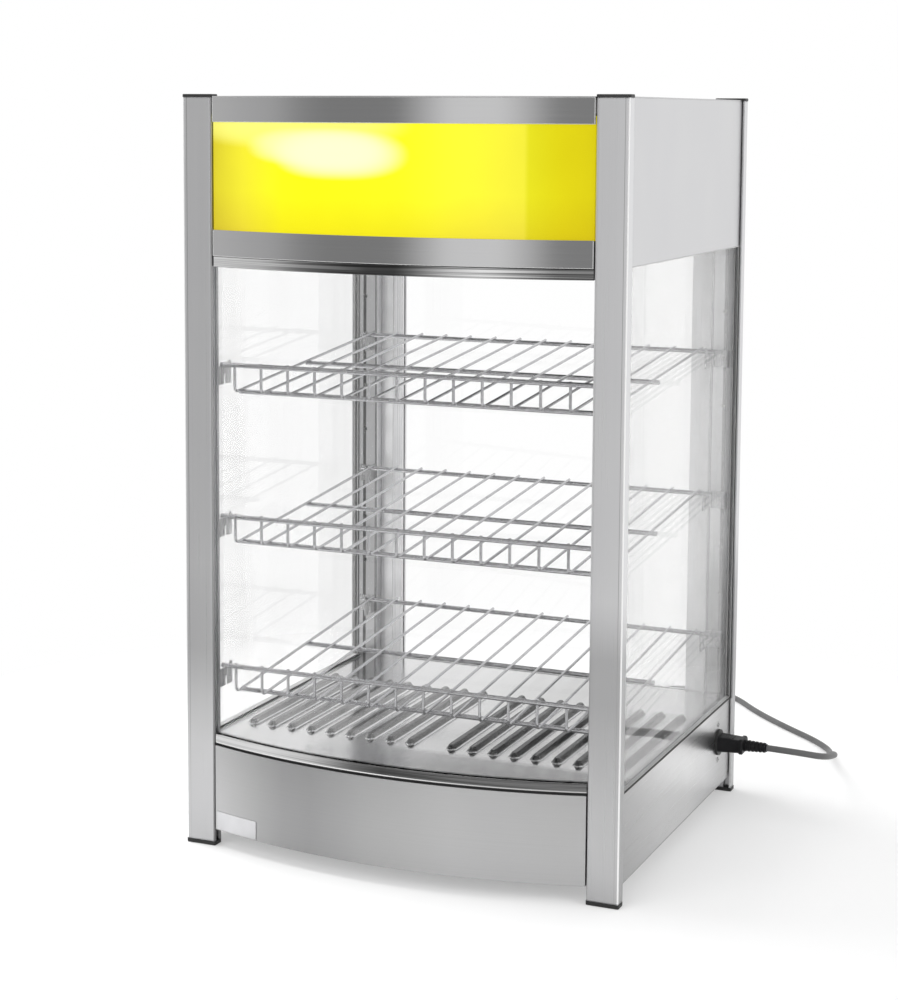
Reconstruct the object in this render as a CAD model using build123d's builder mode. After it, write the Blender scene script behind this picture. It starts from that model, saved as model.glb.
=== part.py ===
from build123d import *
from math import cos, pi, radians, sin, sqrt, tan
import os

os.makedirs("parts", exist_ok=True)

# Overall size of the case, in millimetres. X runs to the right seen from the front, Y to the back.
width = 475.0
depth = 414.0
height = 780.0
bow = 32.0

# Sheet, glass and general clearances
sheet = 1.2
tray_thick = 1.5
glass_thick = 4.0
seat_gap = 0.3
joint_gap = 1.0
screw_gap = 0.1

# Corner posts with their caps and feet
post_wide = 33.0
post_deep = 13.0
post_corner = 1.8
post_wall = 2.0
cap_thick = 3.0
foot_high = 4.0
cap_lip = 0.4
plug_in = 9.0
front_slot_near = 2.8
front_slot_wide = 6.4
front_slot_deep = 5.0
side_slot_wall = 2.3
side_slot_wide = 6.5
side_slot_deep = 6.0
chamber_long = 14.0

# Door at the back, laid over the back posts
door_gap = 1.5
door_thick = 12.0
door_stile = 38.0
door_inset = 21.5
door_foot_lap = 39.0
door_head_lap = 28.0
door_sheet = 1.5
handle_reach = 24.0
handle_bar = 9.0
handle_long = 130.0
hinge_pin_radius = 2.5
hinge_pin_gap = 0.06
hinge_plate = 3.0
hinge_plate_long = 34.0
hinge_plate_gap = 0.6
hinge_pin_long = 12.0
hinge_plate_wide = 24.0
hinge_screw_pitch = 16.0
door_chamber_edge = 10.0
door_glass_grip = 8.0
handle_post_radius = 4.0
gasket_thick = 1.2
gasket_edge = 16.0
gasket_wide = 10.0
catch_x = 140.0
catch_long = 40.0
catch_high = 7.0
catch_deep = 10.0
catch_gap = 0.5
catch_drop = 5.5

# Levels of the base, glass and lit head
base_low = 18.0
front_panel_top = 108.0
front_seal_high = 2.5
glass_rail_high = 9.0
floor_top = 107.0
side_seal_high = 2.0
glass_top_rail_high = 11.0
head_tall = 163.0
sign_rail_low = 26.5
sign_rail_high = 24.5
roof_thick = 1.5
roof_rise = 1.0
rail_deep = 8.0
rail_skin = 1.6
sign_thick = 3.0
sign_slot_gap = 0.3
sign_grip = 8.0
panel_recess = 3.0
panel_flange = 14.0
front_flange = 12.0
rear_inset = 1.5
side_lip = 8.5
tray_vent_y = 0.0
tray_vent_pitch = 12.0
tray_vent_row = 70.0
tray_vent_count = 13
tray_vent_long = 46.0
tray_vent_wide = 4.0
rear_vent_x = 150.0
rear_vent_pitch = 8.0
rear_vent_count = 8
rear_vent_long = 30.0
rear_vent_wide = 3.0
glass_rail_deep = 10.0
glass_rail_back = 1.0
glass_setback = 3.0
glass_end = 3.0
glass_groove_floor = 2.5
glass_groove_roof = 3.0
side_glass_rise = 0.5
side_top_seal = 1.5
seal_setback = 2.5
seal_web = 1.0
seal_proud = 1.0
head_vent_drop = 30.0
head_vent_pitch = 12.0
head_vent_count = 15
glass_slot_gap = 0.3

# Pressed ribs of the floor plate
rib_count = 9
rib_edge = 24.2
rib_long = 216.0
rib_wide = 12.0
rib_high = 5.0
rib_start = 88.0
rib_slope = 35.0

# Wire racks and the hooks that hold them
rack_levels = {"bottom": 184.0, "middle": 343.0, "top": 502.0}
rack_rim_radius = 2.5
rack_wire_radius = 1.5
rack_weld = 0.4
rack_wires = 14
rack_side_gap = 6.5
rack_drop = 28.4
rack_bend = 6.0
rack_wire_tail = 3.0
rack_rim_over = 6.5
rack_cross_over = 4.5
rack_front_cross = 23.5
rack_middle_cross = 177.5
hook_sheet = 1.5
hook_reach = 29.0
hook_high = 19.0
hook_seat = 21.5
hook_foot = 20.0
hook_lip = 4.5
hook_slot_wide = 5.0
hook_slot_high = 10.0
hook_inset = 1.5
hook_round = 2.0
hook_slot_from_post = 14.0
hook_hole_rows = 3

# Heating element under the floor plate
element_radius = 3.25
element_level = 84.0
element_leg_pitch = 80.0
element_legs = 4
element_front = 100.0
element_back = 330.0
element_tail = 25.0
support_half = 170.0
support_front = 150.0
support_back = 280.0
support_flange = 12.0
shield_level = 58.0
block_long = 60.0
block_wide = 22.0
block_high = 18.0
block_hole_radius = 2.0
block_x = 150.0
block_from_front = 360.0
element_stud_radius = 2.0
element_stud_long = 8.0

# Controls on the back of the base
control_level = 43.0
knob_radius = 16.0
knob_high = 15.0
knob_draft = 5.0
knob_grips = 12
knob_grip_radius = 2.5
knob_crown = 2.0
knob_mark = 1.6
bush_radius = 6.0
bush_out = 2.0
knob_x = 70.0
shaft_radius = 3.0
shaft_long = 13.0
shaft_gap = 0.05
thermostat_side = 34.0
thermostat_long = 24.0
switch_wide = 15.0
switch_high = 21.0
switch_bezel = 2.0
switch_body_long = 22.0
switch_wall = 1.9
switch_pocket = 7.0
rocker_gap = 0.4
rocker_tilt = 7.0
rocker_rise = 2.4
rocker_dish = 0.8
rocker_skirt = 2.0
rocker_pin_radius = 1.2
rocker_pin_long = 0.7
power_switch_x = -75.0
light_switch_x = -45.0

# Power inlet on the right side of the base, its connector and the cord
inlet_from_front = 355.0
inlet_level = 69.7
inlet_ring_radius = 14.2
inlet_ring_high = 2.6
inlet_cavity = 9.0
inlet_body_long = 24.0
inlet_body_radius = 12.5
inlet_flange = 2.0
inlet_flange_wide = 22.0
inlet_flange_high = 50.0
inlet_screw_pitch = 40.0
connector_long = 28.0
connector_wide = 26.0
connector_high = 17.0
connector_nose = 8.0
nose_wide = 19.0
nose_high = 11.0
connector_round = 5.0
connector_collar = 4.0
connector_draft = 3.0
blade_long = 7.0
blade_wide = 4.0
blade_thick = 1.5
blade_pitch = 6.0
relief_long = 25.0
relief_radius = 6.4
relief_tip_radius = 5.3
relief_ribs = 6
relief_rib_share = 0.6
relief_groove = 0.9
cord_radius = 3.5
arc_share = 0.45
coil_pitch = 7.6
coil_outer = 46.0
coil_lift = 1.3
coil_tail = 22.0
coil_x = 52.0
# Route of the cord after the strain relief: X, distance behind the front of the posts, height
cord_route = [
    (323.0, 355.0, 69.7),
    (350.0, 379.0, 61.0),
    (348.0, 428.0, 43.0),
    (327.0, 486.0, 23.0),
    (306.0, 545.0, 5.0),
    (311.0, 588.0, 3.5),
    (284.0, 625.0, 3.5),
    (235.0, 668.0, 3.5),
    (180.0, 725.0, 3.5),
    (143.0, 775.0, 3.5),
    (105.0, 800.0, 3.5),
    (55.0, 795.0, 3.5),
    (20.0, 755.0, 4.0),
    (6.0, 695.0, 4.8),
]
tie_wide = 6.0
tie_thick = 1.0
tie_gap = 0.2
coil_from_front = 596.0
plug_radius = 19.0
plug_high = 22.0
plug_neck_long = 30.0
plug_neck_radius = 6.5
plug_round = 3.0
pin_radius = 2.4
pin_long = 19.0
pin_pitch = 19.0
pin_draft = 1.0

# Lamp in the head
lamp_from_front = 62.0
lamp_drop = 70.5
lamp_radius = 8.0
lamp_long = 288.0
lamp_x = -35.0
lamp_holder_thick = 12.0
lamp_holder_high = 26.0
lamp_grip = 6.0
lamp_bracket_from_front = 96.0
lamp_bracket_foot = 20.0
lamp_bracket_half = 165.0
lamp_bracket_high = 116.0
window_half = 150.0
window_deep = 56.0
window_thick = 3.0
window_lip = 6.0

# Fasteners
screw_radius = 1.6
screw_head_radius = 3.0
screw_head = 1.2
screw_long = 5.0
screw_draft = 30.0

# Blank badge on the front panel
badge_wide = 53.0
badge_high = 19.0
badge_thick = 0.6
badge_edge = 2.5

# Derived planes and levels
rear_reach = door_gap + door_thick + handle_reach
front_y = bow - (bow + depth + rear_reach) / 2
back_y = front_y + depth
half_width = width / 2
post_inner = half_width - post_wide
post_top = height - cap_thick
front_half = post_inner - joint_gap
bow_radius = (front_half**2 + bow**2) / (2 * bow)
bow_centre = front_y - bow + bow_radius
side_out = half_width - panel_recess
side_in = side_out - sheet
front_bay = front_y + post_deep
back_bay = back_y - post_deep
tray_top = base_low + tray_thick
floor_low = floor_top - sheet
side_top = floor_top + sheet
glass_out_x = half_width - side_slot_wall - (side_slot_wide - glass_thick) / 2
roof_top = height - cap_thick + roof_rise
roof_low = roof_top - roof_thick
seal_top = front_panel_top + front_seal_high
head_low = height - head_tall
sign_low = head_low + sign_rail_low
sign_high = roof_low - sign_rail_high
lamp_level = roof_low - lamp_drop
ceiling_low = head_low
ceiling_top = head_low + sheet
door_half_wide = half_width - door_inset
door_low = floor_top - door_foot_lap
door_high = head_low + door_head_lap
handle_x = door_half_wide - door_stile / 2
sign_slot = sign_thick + 2 * sign_slot_gap
rack_front_y = front_y + post_deep + hook_seat
rack_back_y = back_y - post_deep - hook_seat
hook_plane = post_inner + hook_inset
rack_half_wide = hook_plane - rack_side_gap
rack_rim_half = hook_plane + hook_sheet + rack_rim_over
rack_pitch = rack_levels["middle"] - rack_levels["bottom"]


def save(part, name):
    part.label = name
    export_step(part, f"parts/{name}.step")


def bowed_y(radius, x):
    # Y of the front bow at a radius and a distance from the middle
    return bow_centre - sqrt(radius**2 - x**2)


def bowed_band(back_outer, back_inner, half, level):
    # A band between two arcs of the front bow, cut square at both ends
    outer = bow_radius - back_outer
    inner = bow_radius - back_inner
    with BuildSketch(Plane.XY.offset(level)) as band:
        with BuildLine():
            front_end = bowed_y(outer, half)
            back_end = bowed_y(inner, half)
            ThreePointArc((-half, front_end), (0, bow_centre - outer), (half, front_end))
            Line((half, front_end), (half, back_end))
            ThreePointArc((half, back_end), (0, bow_centre - inner), (-half, back_end))
            Line((-half, back_end), (-half, front_end))
        make_face()
    return band.sketch


def bowed_plate(back_outer, level, nose_half, side_limit, back_limit, post_gap):
    # A flat plate with a bowed front edge, cut out round the four posts
    edge = bow_radius - back_outer
    near = front_bay + post_gap
    far = back_bay - post_gap
    with BuildSketch(Plane.XY.offset(level)) as plate:
        with BuildLine():
            ThreePointArc(
                (-nose_half, bowed_y(edge, nose_half)),
                (0, bow_centre - edge),
                (nose_half, bowed_y(edge, nose_half)),
            )
            Polyline(
                (nose_half, bowed_y(edge, nose_half)), (nose_half, near), (side_limit, near),
                (side_limit, far), (front_half, far), (front_half, back_limit),
                (-front_half, back_limit), (-front_half, far), (-side_limit, far),
                (-side_limit, near), (-nose_half, near), (-nose_half, bowed_y(edge, nose_half)),
            )
        make_face()
    return plate.sketch


# Corner posts
post_centre_x = half_width - post_wide / 2
chamber_x = half_width - side_slot_wall - side_slot_wide - post_wall - chamber_long / 2
hook_hole_levels = [
    rack_levels["bottom"] - hook_high / 2 + step * rack_pitch / hook_hole_rows
    for step in range(2 * hook_hole_rows + 2)
]
hinge_screw_levels = [
    end_level + way * (hinge_plate_gap + hinge_plate_long / 2 + row * hinge_screw_pitch / 2)
    for end_level, way in ((door_low, -1), (door_high, 1))
    for row in (-1, 1)
]


def make_post(side, front):
    middle_y = front_y + post_deep / 2 if front else back_y - post_deep / 2
    inward = 1 if front else -1
    bay_y = front_bay if front else back_bay
    with BuildPart() as post:
        with BuildSketch(Plane.XY.offset(foot_high)):
            with Locations((side * post_centre_x, middle_y)):
                Rectangle(post_wide, post_deep)
            outer_corners = vertices().group_by(Axis.Y)[0 if front else -1]
            fillet(outer_corners, post_corner)
            with Locations((side * chamber_x, middle_y)):
                Rectangle(chamber_long, post_deep - 2 * post_wall, mode=Mode.SUBTRACT)
            side_slot_x = half_width - side_slot_wall - side_slot_wide / 2
            with Locations((side * side_slot_x, bay_y - inward * side_slot_deep / 2)):
                Rectangle(side_slot_wide, side_slot_deep, mode=Mode.SUBTRACT)
            if front:
                slot_y = front_y + front_slot_near + front_slot_wide / 2
                with Locations((side * (post_inner + front_slot_deep / 2), slot_y)):
                    Rectangle(front_slot_deep, front_slot_wide, mode=Mode.SUBTRACT)
        extrude(amount=post_top - foot_high)
        with BuildSketch(Plane.XZ.offset(-bay_y)):
            with Locations(*[(side * chamber_x, level) for level in hook_hole_levels]):
                Circle(screw_radius + screw_gap)
        extrude(amount=inward * post_wall, mode=Mode.SUBTRACT)
        if side < 0 and not front:
            with BuildSketch(Plane.XZ.offset(-back_y)):
                with Locations(*[(-chamber_x, level) for level in hinge_screw_levels]):
                    Circle(screw_radius + screw_gap)
            extrude(amount=post_wall, mode=Mode.SUBTRACT)
    return post


posts = {}
for side, side_name in ((-1, "left"), (1, "right")):
    for front, end_name in ((True, "front"), (False, "back")):
        name = f"post_{end_name}_{side_name}"
        posts[name] = make_post(side, front)
        save(posts[name].part, name)

post_middles = [
    (side * post_centre_x, middle)
    for side in (-1, 1)
    for middle in (front_y + post_deep / 2, back_y - post_deep / 2)
]
chamber_middles = [(side * chamber_x, middle[1]) for side in (-1, 1) for middle in post_middles[:2]]
plug_clear = seat_gap / 2

with BuildPart() as top_caps:
    with BuildSketch(Plane.XY.offset(post_top)):
        with Locations(*post_middles):
            RectangleRounded(post_wide + 2 * cap_lip, post_deep + 2 * cap_lip, post_corner)
    extrude(amount=cap_thick)
    fillet(top_caps.edges().group_by(Axis.Z)[-1], cap_lip * 2)
    with BuildSketch(Plane.XY.offset(post_top)):
        with Locations(*chamber_middles):
            Rectangle(chamber_long - 2 * plug_clear, post_deep - 2 * post_wall - 2 * plug_clear)
    extrude(amount=-plug_in)
save(top_caps.part, "top_caps")

with BuildPart() as feet:
    with BuildSketch():
        with Locations(*post_middles):
            RectangleRounded(post_wide + 2 * cap_lip, post_deep + 2 * cap_lip, post_corner)
    extrude(amount=foot_high)
    chamfer(feet.edges().group_by(Axis.Z)[0], cap_lip)
    with BuildSketch(Plane.XY.offset(foot_high)):
        with Locations(*chamber_middles):
            Rectangle(chamber_long - 2 * plug_clear, post_deep - 2 * post_wall - 2 * plug_clear)
    extrude(amount=plug_in)
save(feet.part, "feet")


# Base: tray, bowed front, badge, sides, back and floor
inner_half = front_half - sheet
with BuildPart() as base_tray:
    panel_back = back_y - rear_inset
    extrude(
        bowed_plate(sheet + seat_gap, base_low, inner_half - seat_gap, side_out, panel_back, seat_gap),
        amount=tray_thick,
    )
    with BuildSketch(Plane.XY.offset(base_low)):
        with Locations((0, tray_vent_y)):
            with GridLocations(tray_vent_pitch, tray_vent_row, tray_vent_count, 2):
                SlotOverall(tray_vent_long, tray_vent_wide, rotation=90)
    extrude(amount=tray_thick, mode=Mode.SUBTRACT)
save(base_tray.part, "base_tray")

with BuildPart() as base_front_panel:
    panel_high = front_panel_top - base_low
    extrude(bowed_band(0, front_flange, front_half, base_low), amount=panel_high)
    extrude(
        bowed_band(sheet, front_flange + joint_gap, inner_half, base_low),
        amount=panel_high - sheet, mode=Mode.SUBTRACT,
    )
save(base_front_panel.part, "base_front_panel")

with BuildPart() as badge_plate:
    badge_out = front_half - badge_edge
    extrude(bowed_band(-badge_thick, 0, badge_out, base_low + badge_edge / 2), amount=badge_high)
    split(bisect_by=Plane.YZ.offset(badge_wide - badge_out), keep=Keep.BOTTOM)
save(badge_plate.part, "badge_plate")


def make_side_panel(side, low, high, top_lip, flange_top):
    # A side sheet folded in along the bottom, the top and both ends
    near = front_bay + seat_gap
    far = back_bay - seat_gap
    inner = side * (side_out - panel_flange)
    lip = side * (side_out - top_lip)
    with BuildPart() as panel:
        with BuildSketch(Plane.XZ.offset(-near)):
            with BuildLine():
                Polyline(
                    (inner, low), (side * side_out, low), (side * side_out, high), (lip, high),
                    (lip, high - sheet), (side * side_in, high - sheet), (side * side_in, low + sheet),
                    (inner, low + sheet), (inner, low),
                )
            make_face()
        extrude(amount=near - far)
        with BuildSketch(Plane.XY.offset(low)):
            for edge_y in (near + sheet / 2, far - sheet / 2):
                with Locations(((inner + side * side_out) / 2, edge_y)):
                    Rectangle(panel_flange, sheet)
        extrude(amount=flange_top - low)
    return panel.part


inlet_y = front_y + inlet_from_front
inlet_hole_radius = inlet_ring_radius + seat_gap
save(make_side_panel(-1, tray_top, side_top, side_lip, floor_low), "base_side_left")
with BuildPart() as base_side_right:
    add(make_side_panel(1, tray_top, side_top, side_lip, floor_low))
    with BuildSketch(Plane.YZ.offset(side_in)):
        with Locations((inlet_y, inlet_level)):
            Circle(inlet_hole_radius)
            with GridLocations(1, inlet_screw_pitch, 1, 2):
                Circle(screw_radius + screw_gap)
    extrude(amount=sheet, mode=Mode.SUBTRACT)
save(base_side_right.part, "base_side_right")

panel_front = panel_back - sheet
switch_body_wide = switch_wide - switch_bezel
switch_body_high = switch_high - switch_bezel
with BuildPart() as base_rear_panel:
    with BuildSketch(Plane.XZ.offset(-panel_front)):
        with Locations((0, (tray_top + floor_low) / 2)):
            Rectangle(2 * front_half, floor_low - tray_top)
        with Locations((power_switch_x, control_level), (light_switch_x, control_level)):
            Rectangle(switch_body_wide + 2 * screw_gap, switch_body_high + 2 * screw_gap, mode=Mode.SUBTRACT)
        with Locations((knob_x, control_level)):
            Circle(bush_radius + screw_gap, mode=Mode.SUBTRACT)
        with Locations((rear_vent_x, control_level)):
            with GridLocations(rear_vent_pitch, 1, rear_vent_count, 1):
                SlotOverall(rear_vent_long, rear_vent_wide, rotation=90, mode=Mode.SUBTRACT)
    extrude(amount=-sheet)
save(base_rear_panel.part, "base_rear_panel")

floor_half = side_in - seat_gap
rib_pitch = (floor_half - rib_edge) / rib_count
rib_places = [
    (side * rib_pitch * (step + 1), front_y + rib_start + rib_long / 2)
    for side in (-1, 1)
    for step in range(rib_count)
]
with BuildPart() as floor_plate:
    extrude(
        bowed_plate(front_flange + seat_gap, floor_low, front_half, floor_half, panel_back, seat_gap),
        amount=sheet,
    )
    with BuildSketch(Plane.XY.offset(floor_top)):
        with Locations(*rib_places):
            SlotOverall(rib_long, rib_wide, rotation=90)
    extrude(amount=rib_high, taper=rib_slope)
    with BuildSketch(Plane.XY.offset(floor_low)):
        with Locations(*rib_places):
            SlotOverall(rib_long - 2 * sheet, rib_wide - 2 * sheet, rotation=90)
    extrude(amount=rib_high, taper=rib_slope, mode=Mode.SUBTRACT)
save(floor_plate.part, "floor_plate")

# Heating element on two supports, with a shield below it and its terminals
support_places = (front_y + support_front, front_y + support_back)
leg_places = [element_leg_pitch * (step - (element_legs - 1) / 2) for step in range(element_legs)]
with BuildPart() as element_supports:
    for place, turn in zip(support_places, (1, -1)):
        foot_y = place + turn * support_flange
        web_y = place + turn * sheet
        with BuildSketch(Plane.YZ.offset(-support_half)):
            with BuildLine():
                Polyline(
                    (place, tray_top), (foot_y, tray_top), (foot_y, tray_top + sheet),
                    (web_y, tray_top + sheet), (web_y, floor_low - sheet), (foot_y, floor_low - sheet),
                    (foot_y, floor_low), (place, floor_low), (place, tray_top),
                )
            make_face()
        extrude(amount=2 * support_half)
    with BuildSketch(Plane.XZ.offset(-front_bay)):
        with Locations(*[(place, element_level) for place in leg_places]):
            Circle(element_radius + seat_gap)
    extrude(amount=front_bay - back_bay, mode=Mode.SUBTRACT)
save(element_supports.part, "element_supports")

with BuildPart() as heat_shield:
    with BuildSketch(Plane.XY.offset(shield_level)):
        with Locations((0, sum(support_places) / 2)):
            shield_long = support_places[1] - support_places[0] - 2 * sheet - seat_gap
            Rectangle(2 * support_half, shield_long)
    extrude(amount=sheet)
save(heat_shield.part, "heat_shield")

with BuildPart() as heating_element:
    turn_radius = element_leg_pitch / 2
    near_turn = front_y + element_front + turn_radius
    far_turn = front_y + element_back - turn_radius
    tail_end = front_y + element_back + element_tail
    with BuildLine(Plane.XY.offset(element_level)) as element_path:
        Line((leg_places[0], tail_end), (leg_places[0], near_turn))
        for leg, turn_y, way in ((0, near_turn, -1), (1, far_turn, 1), (2, near_turn, -1)):
            ThreePointArc(
                (leg_places[leg], turn_y),
                (leg_places[leg] + turn_radius, turn_y + way * turn_radius),
                (leg_places[leg + 1], turn_y),
            )
            next_y = (far_turn, near_turn, tail_end)[leg]
            Line((leg_places[leg + 1], turn_y), (leg_places[leg + 1], next_y))
    with BuildSketch(Plane.XZ.offset(-tail_end)):
        with Locations((leg_places[0], element_level)):
            Circle(element_radius)
    sweep(path=element_path.wires()[0])
    with BuildSketch(Plane.XZ.offset(-tail_end)):
        with Locations((leg_places[0], element_level), (leg_places[3], element_level)):
            Circle(element_stud_radius)
    extrude(amount=-element_stud_long)
save(heating_element.part, "heating_element")

with BuildPart() as terminal_block:
    with BuildSketch(Plane.XY.offset(tray_top)):
        with Locations((block_x, front_y + block_from_front)):
            Rectangle(block_long, block_wide)
    extrude(amount=block_high)
    with BuildSketch(Plane.XY.offset(tray_top + block_high)):
        with Locations((block_x, front_y + block_from_front)):
            with GridLocations(block_long / 4, block_wide / 2, 4, 2):
                Circle(block_hole_radius)
    extrude(amount=-block_high / 2, mode=Mode.SUBTRACT)
save(terminal_block.part, "terminal_block")

# Thermostat with its knob, and two rocker switches
with BuildPart() as thermostat:
    with BuildSketch(Plane.XZ.offset(-panel_front)):
        with Locations((knob_x, control_level)):
            RectangleRounded(thermostat_side, thermostat_side, screw_head_radius)
    extrude(amount=thermostat_long)
    with BuildSketch(Plane.XZ.offset(-panel_front)):
        with Locations((knob_x, control_level)):
            Circle(bush_radius)
    extrude(amount=-sheet - bush_out)
    with BuildSketch(Plane.XZ.offset(-panel_back - bush_out)):
        with Locations((knob_x, control_level)):
            Circle(shaft_radius + shaft_gap)
    extrude(amount=shaft_long + bush_out, mode=Mode.SUBTRACT)
save(thermostat.part, "thermostat")

knob_low = panel_back + bush_out + seat_gap
with BuildPart() as thermostat_knob:
    with BuildSketch(Plane.XZ.offset(-knob_low)):
        with Locations((knob_x, control_level)):
            Circle(knob_radius)
    extrude(amount=-knob_high, taper=knob_draft)
    with BuildSketch(Plane.XZ.offset(-knob_low)):
        with Locations((knob_x, control_level)):
            with PolarLocations(knob_radius, knob_grips):
                Circle(knob_grip_radius)
    extrude(amount=-knob_high + knob_crown, mode=Mode.SUBTRACT)
    with BuildSketch(Plane.XZ.offset(-knob_low - knob_high)):
        with Locations((knob_x, control_level + knob_radius / 2)):
            Rectangle(knob_mark, knob_radius / 2)
    extrude(amount=knob_mark / 2, mode=Mode.SUBTRACT)
    with BuildSketch(Plane.XZ.offset(-knob_low)):
        with Locations((knob_x, control_level)):
            Circle(shaft_radius)
    extrude(amount=shaft_long)
save(thermostat_knob.part, "thermostat_knob")

pocket_wide = switch_wide - 2 * switch_wall
pocket_high = switch_high - 2 * switch_wall
rocker_wide = pocket_wide - 2 * rocker_gap
rocker_high = pocket_high - 2 * rocker_gap
for switch_name, rocker_name, switch_x in (
    ("power_switch", "power_rocker", power_switch_x),
    ("light_switch", "light_rocker", light_switch_x),
):
    with BuildPart() as switch:
        with BuildSketch(Plane.XZ.offset(-panel_back)):
            with Locations((switch_x, control_level)):
                RectangleRounded(switch_wide, switch_high, switch_bezel / 2)
        extrude(amount=-switch_bezel)
        with BuildSketch(Plane.XZ.offset(-panel_back)):
            with Locations((switch_x, control_level)):
                Rectangle(switch_body_wide, switch_body_high)
        extrude(amount=switch_body_long)
        with BuildSketch(Plane.XZ.offset(-panel_back - switch_bezel)):
            with Locations((switch_x, control_level)):
                Rectangle(pocket_wide, pocket_high)
        extrude(amount=switch_bezel + switch_pocket, mode=Mode.SUBTRACT)
        with BuildSketch(Plane.YZ.offset(switch_x)):
            with Locations((panel_back, control_level)):
                Circle(rocker_pin_radius + shaft_gap)
        extrude(amount=rocker_wide / 2 + rocker_pin_long + screw_gap, both=True, mode=Mode.SUBTRACT)
    save(switch.part, switch_name)

    rocker_plane = Plane(
        origin=(switch_x, panel_back, control_level),
        x_dir=(0, cos(radians(rocker_tilt)), sin(radians(rocker_tilt))),
        z_dir=(1, 0, 0),
    )
    with BuildPart() as rocker:
        with BuildSketch(rocker_plane):
            with BuildLine():
                Polyline(
                    (-rocker_skirt, -rocker_high / 2), (rocker_rise, -rocker_high / 2),
                    (rocker_rise - rocker_dish, 0), (rocker_rise, rocker_high / 2),
                    (-rocker_skirt, rocker_high / 2), (-rocker_skirt, -rocker_high / 2),
                )
            make_face()
        extrude(amount=rocker_wide / 2, both=True)
        with BuildSketch(rocker_plane):
            Circle(rocker_pin_radius)
        extrude(amount=rocker_wide / 2 + rocker_pin_long, both=True)
    save(rocker.part, rocker_name)

# Power inlet in the right side, with the connector that plugs into it
inlet_face = side_out + inlet_ring_high
with BuildPart() as power_inlet:
    with BuildSketch(Plane.YZ.offset(inlet_face)):
        with Locations((inlet_y, inlet_level)):
            Circle(inlet_ring_radius)
    extrude(amount=-inlet_ring_high - sheet - inlet_flange)
    with BuildSketch(Plane.YZ.offset(side_in)):
        with Locations((inlet_y, inlet_level)):
            RectangleRounded(inlet_flange_wide, inlet_flange_high, inlet_flange_wide / 4)
            with GridLocations(1, inlet_screw_pitch, 1, 2):
                Circle(screw_radius + screw_gap, mode=Mode.SUBTRACT)
    extrude(amount=-inlet_flange)
    with BuildSketch(Plane.YZ.offset(side_in)):
        with Locations((inlet_y, inlet_level)):
            Circle(inlet_body_radius)
    extrude(amount=-inlet_body_long)
    with BuildSketch(Plane.YZ.offset(inlet_face)):
        with Locations((inlet_y, inlet_level)):
            Rectangle(nose_wide + 2 * seat_gap, nose_high + 2 * seat_gap)
    extrude(amount=-inlet_cavity, mode=Mode.SUBTRACT)
    with BuildSketch(Plane.YZ.offset(inlet_face - inlet_cavity)):
        with Locations((inlet_y, inlet_level)):
            with GridLocations(blade_pitch, 1, 3, 1):
                Rectangle(blade_thick, blade_wide)
    extrude(amount=blade_long)
save(power_inlet.part, "power_inlet")

connector_end = inlet_face + connector_long
with BuildPart() as cord_connector:
    with BuildSketch(Plane.YZ.offset(inlet_face)):
        with Locations((inlet_y, inlet_level)):
            RectangleRounded(connector_wide, connector_high, connector_round)
    extrude(amount=connector_long, taper=connector_draft)
    with BuildSketch(Plane.YZ.offset(connector_end - connector_collar)):
        with Locations((inlet_y, inlet_level)):
            RectangleRounded(connector_wide, connector_high, connector_round)
    extrude(amount=connector_collar)
    collar_edges = cord_connector.edges().filter_by_position(
        Axis.X, connector_end - connector_collar, connector_end
    )
    chamfer(collar_edges.filter_by(GeomType.LINE, reverse=True).group_by(Axis.X)[-1], connector_collar / 4)
    with BuildSketch(Plane.YZ.offset(inlet_face)):
        with Locations((inlet_y, inlet_level)):
            Rectangle(nose_wide, nose_high)
    extrude(amount=-connector_nose)
    with BuildSketch(Plane.YZ.offset(inlet_face - connector_nose)):
        with Locations((inlet_y, inlet_level)):
            with GridLocations(blade_pitch, 1, 3, 1):
                Rectangle(blade_thick + 2 * seat_gap, blade_wide + 2 * seat_gap)
    extrude(amount=connector_nose, mode=Mode.SUBTRACT)
save(cord_connector.part, "cord_connector")

relief_end = connector_end + relief_long
with BuildPart() as cord_strain_relief:
    with BuildSketch(Plane.XZ.offset(-inlet_y)):
        with BuildLine():
            relief_profile = [(connector_end, inlet_level), (connector_end, inlet_level + relief_radius)]
            rib_step = relief_long / relief_ribs
            for rib in range(relief_ribs):
                start = connector_end + rib * rib_step
                share = rib / (relief_ribs - 1)
                rib_level = inlet_level + relief_radius + share * (relief_tip_radius - relief_radius)
                relief_profile += [
                    (start + rib_step * relief_rib_share, rib_level),
                    (start + rib_step * relief_rib_share, rib_level - relief_groove),
                    (start + rib_step, rib_level - relief_groove),
                    (start + rib_step, rib_level),
                ]
            relief_profile[-1] = (relief_end, inlet_level)
            Polyline(*relief_profile, close=True)
        make_face()
    revolve(axis=Axis((0, inlet_y, inlet_level), (1, 0, 0)))
save(cord_strain_relief.part, "cord_strain_relief")

# Glass and the rails and seals that hold it
glass_half = post_inner + glass_end
with BuildPart() as lower_glass_seal:
    extrude(bowed_band(seal_setback, glass_rail_deep, front_half, front_panel_top), amount=front_seal_high)
save(lower_glass_seal.part, "lower_glass_seal")

rail_top = seal_top + glass_rail_high
glass_groove_low = seal_top + glass_groove_floor
groove_near = glass_setback - glass_slot_gap
groove_far = glass_setback + glass_thick + glass_slot_gap
with BuildPart() as lower_glass_rail:
    extrude(
        bowed_band(glass_rail_back, glass_rail_deep + glass_rail_back, front_half, seal_top),
        amount=glass_rail_high,
    )
    extrude(
        bowed_band(groove_near, groove_far, half_width, glass_groove_low),
        amount=rail_top - glass_groove_low, mode=Mode.SUBTRACT,
    )
save(lower_glass_rail.part, "lower_glass_rail")

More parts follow.
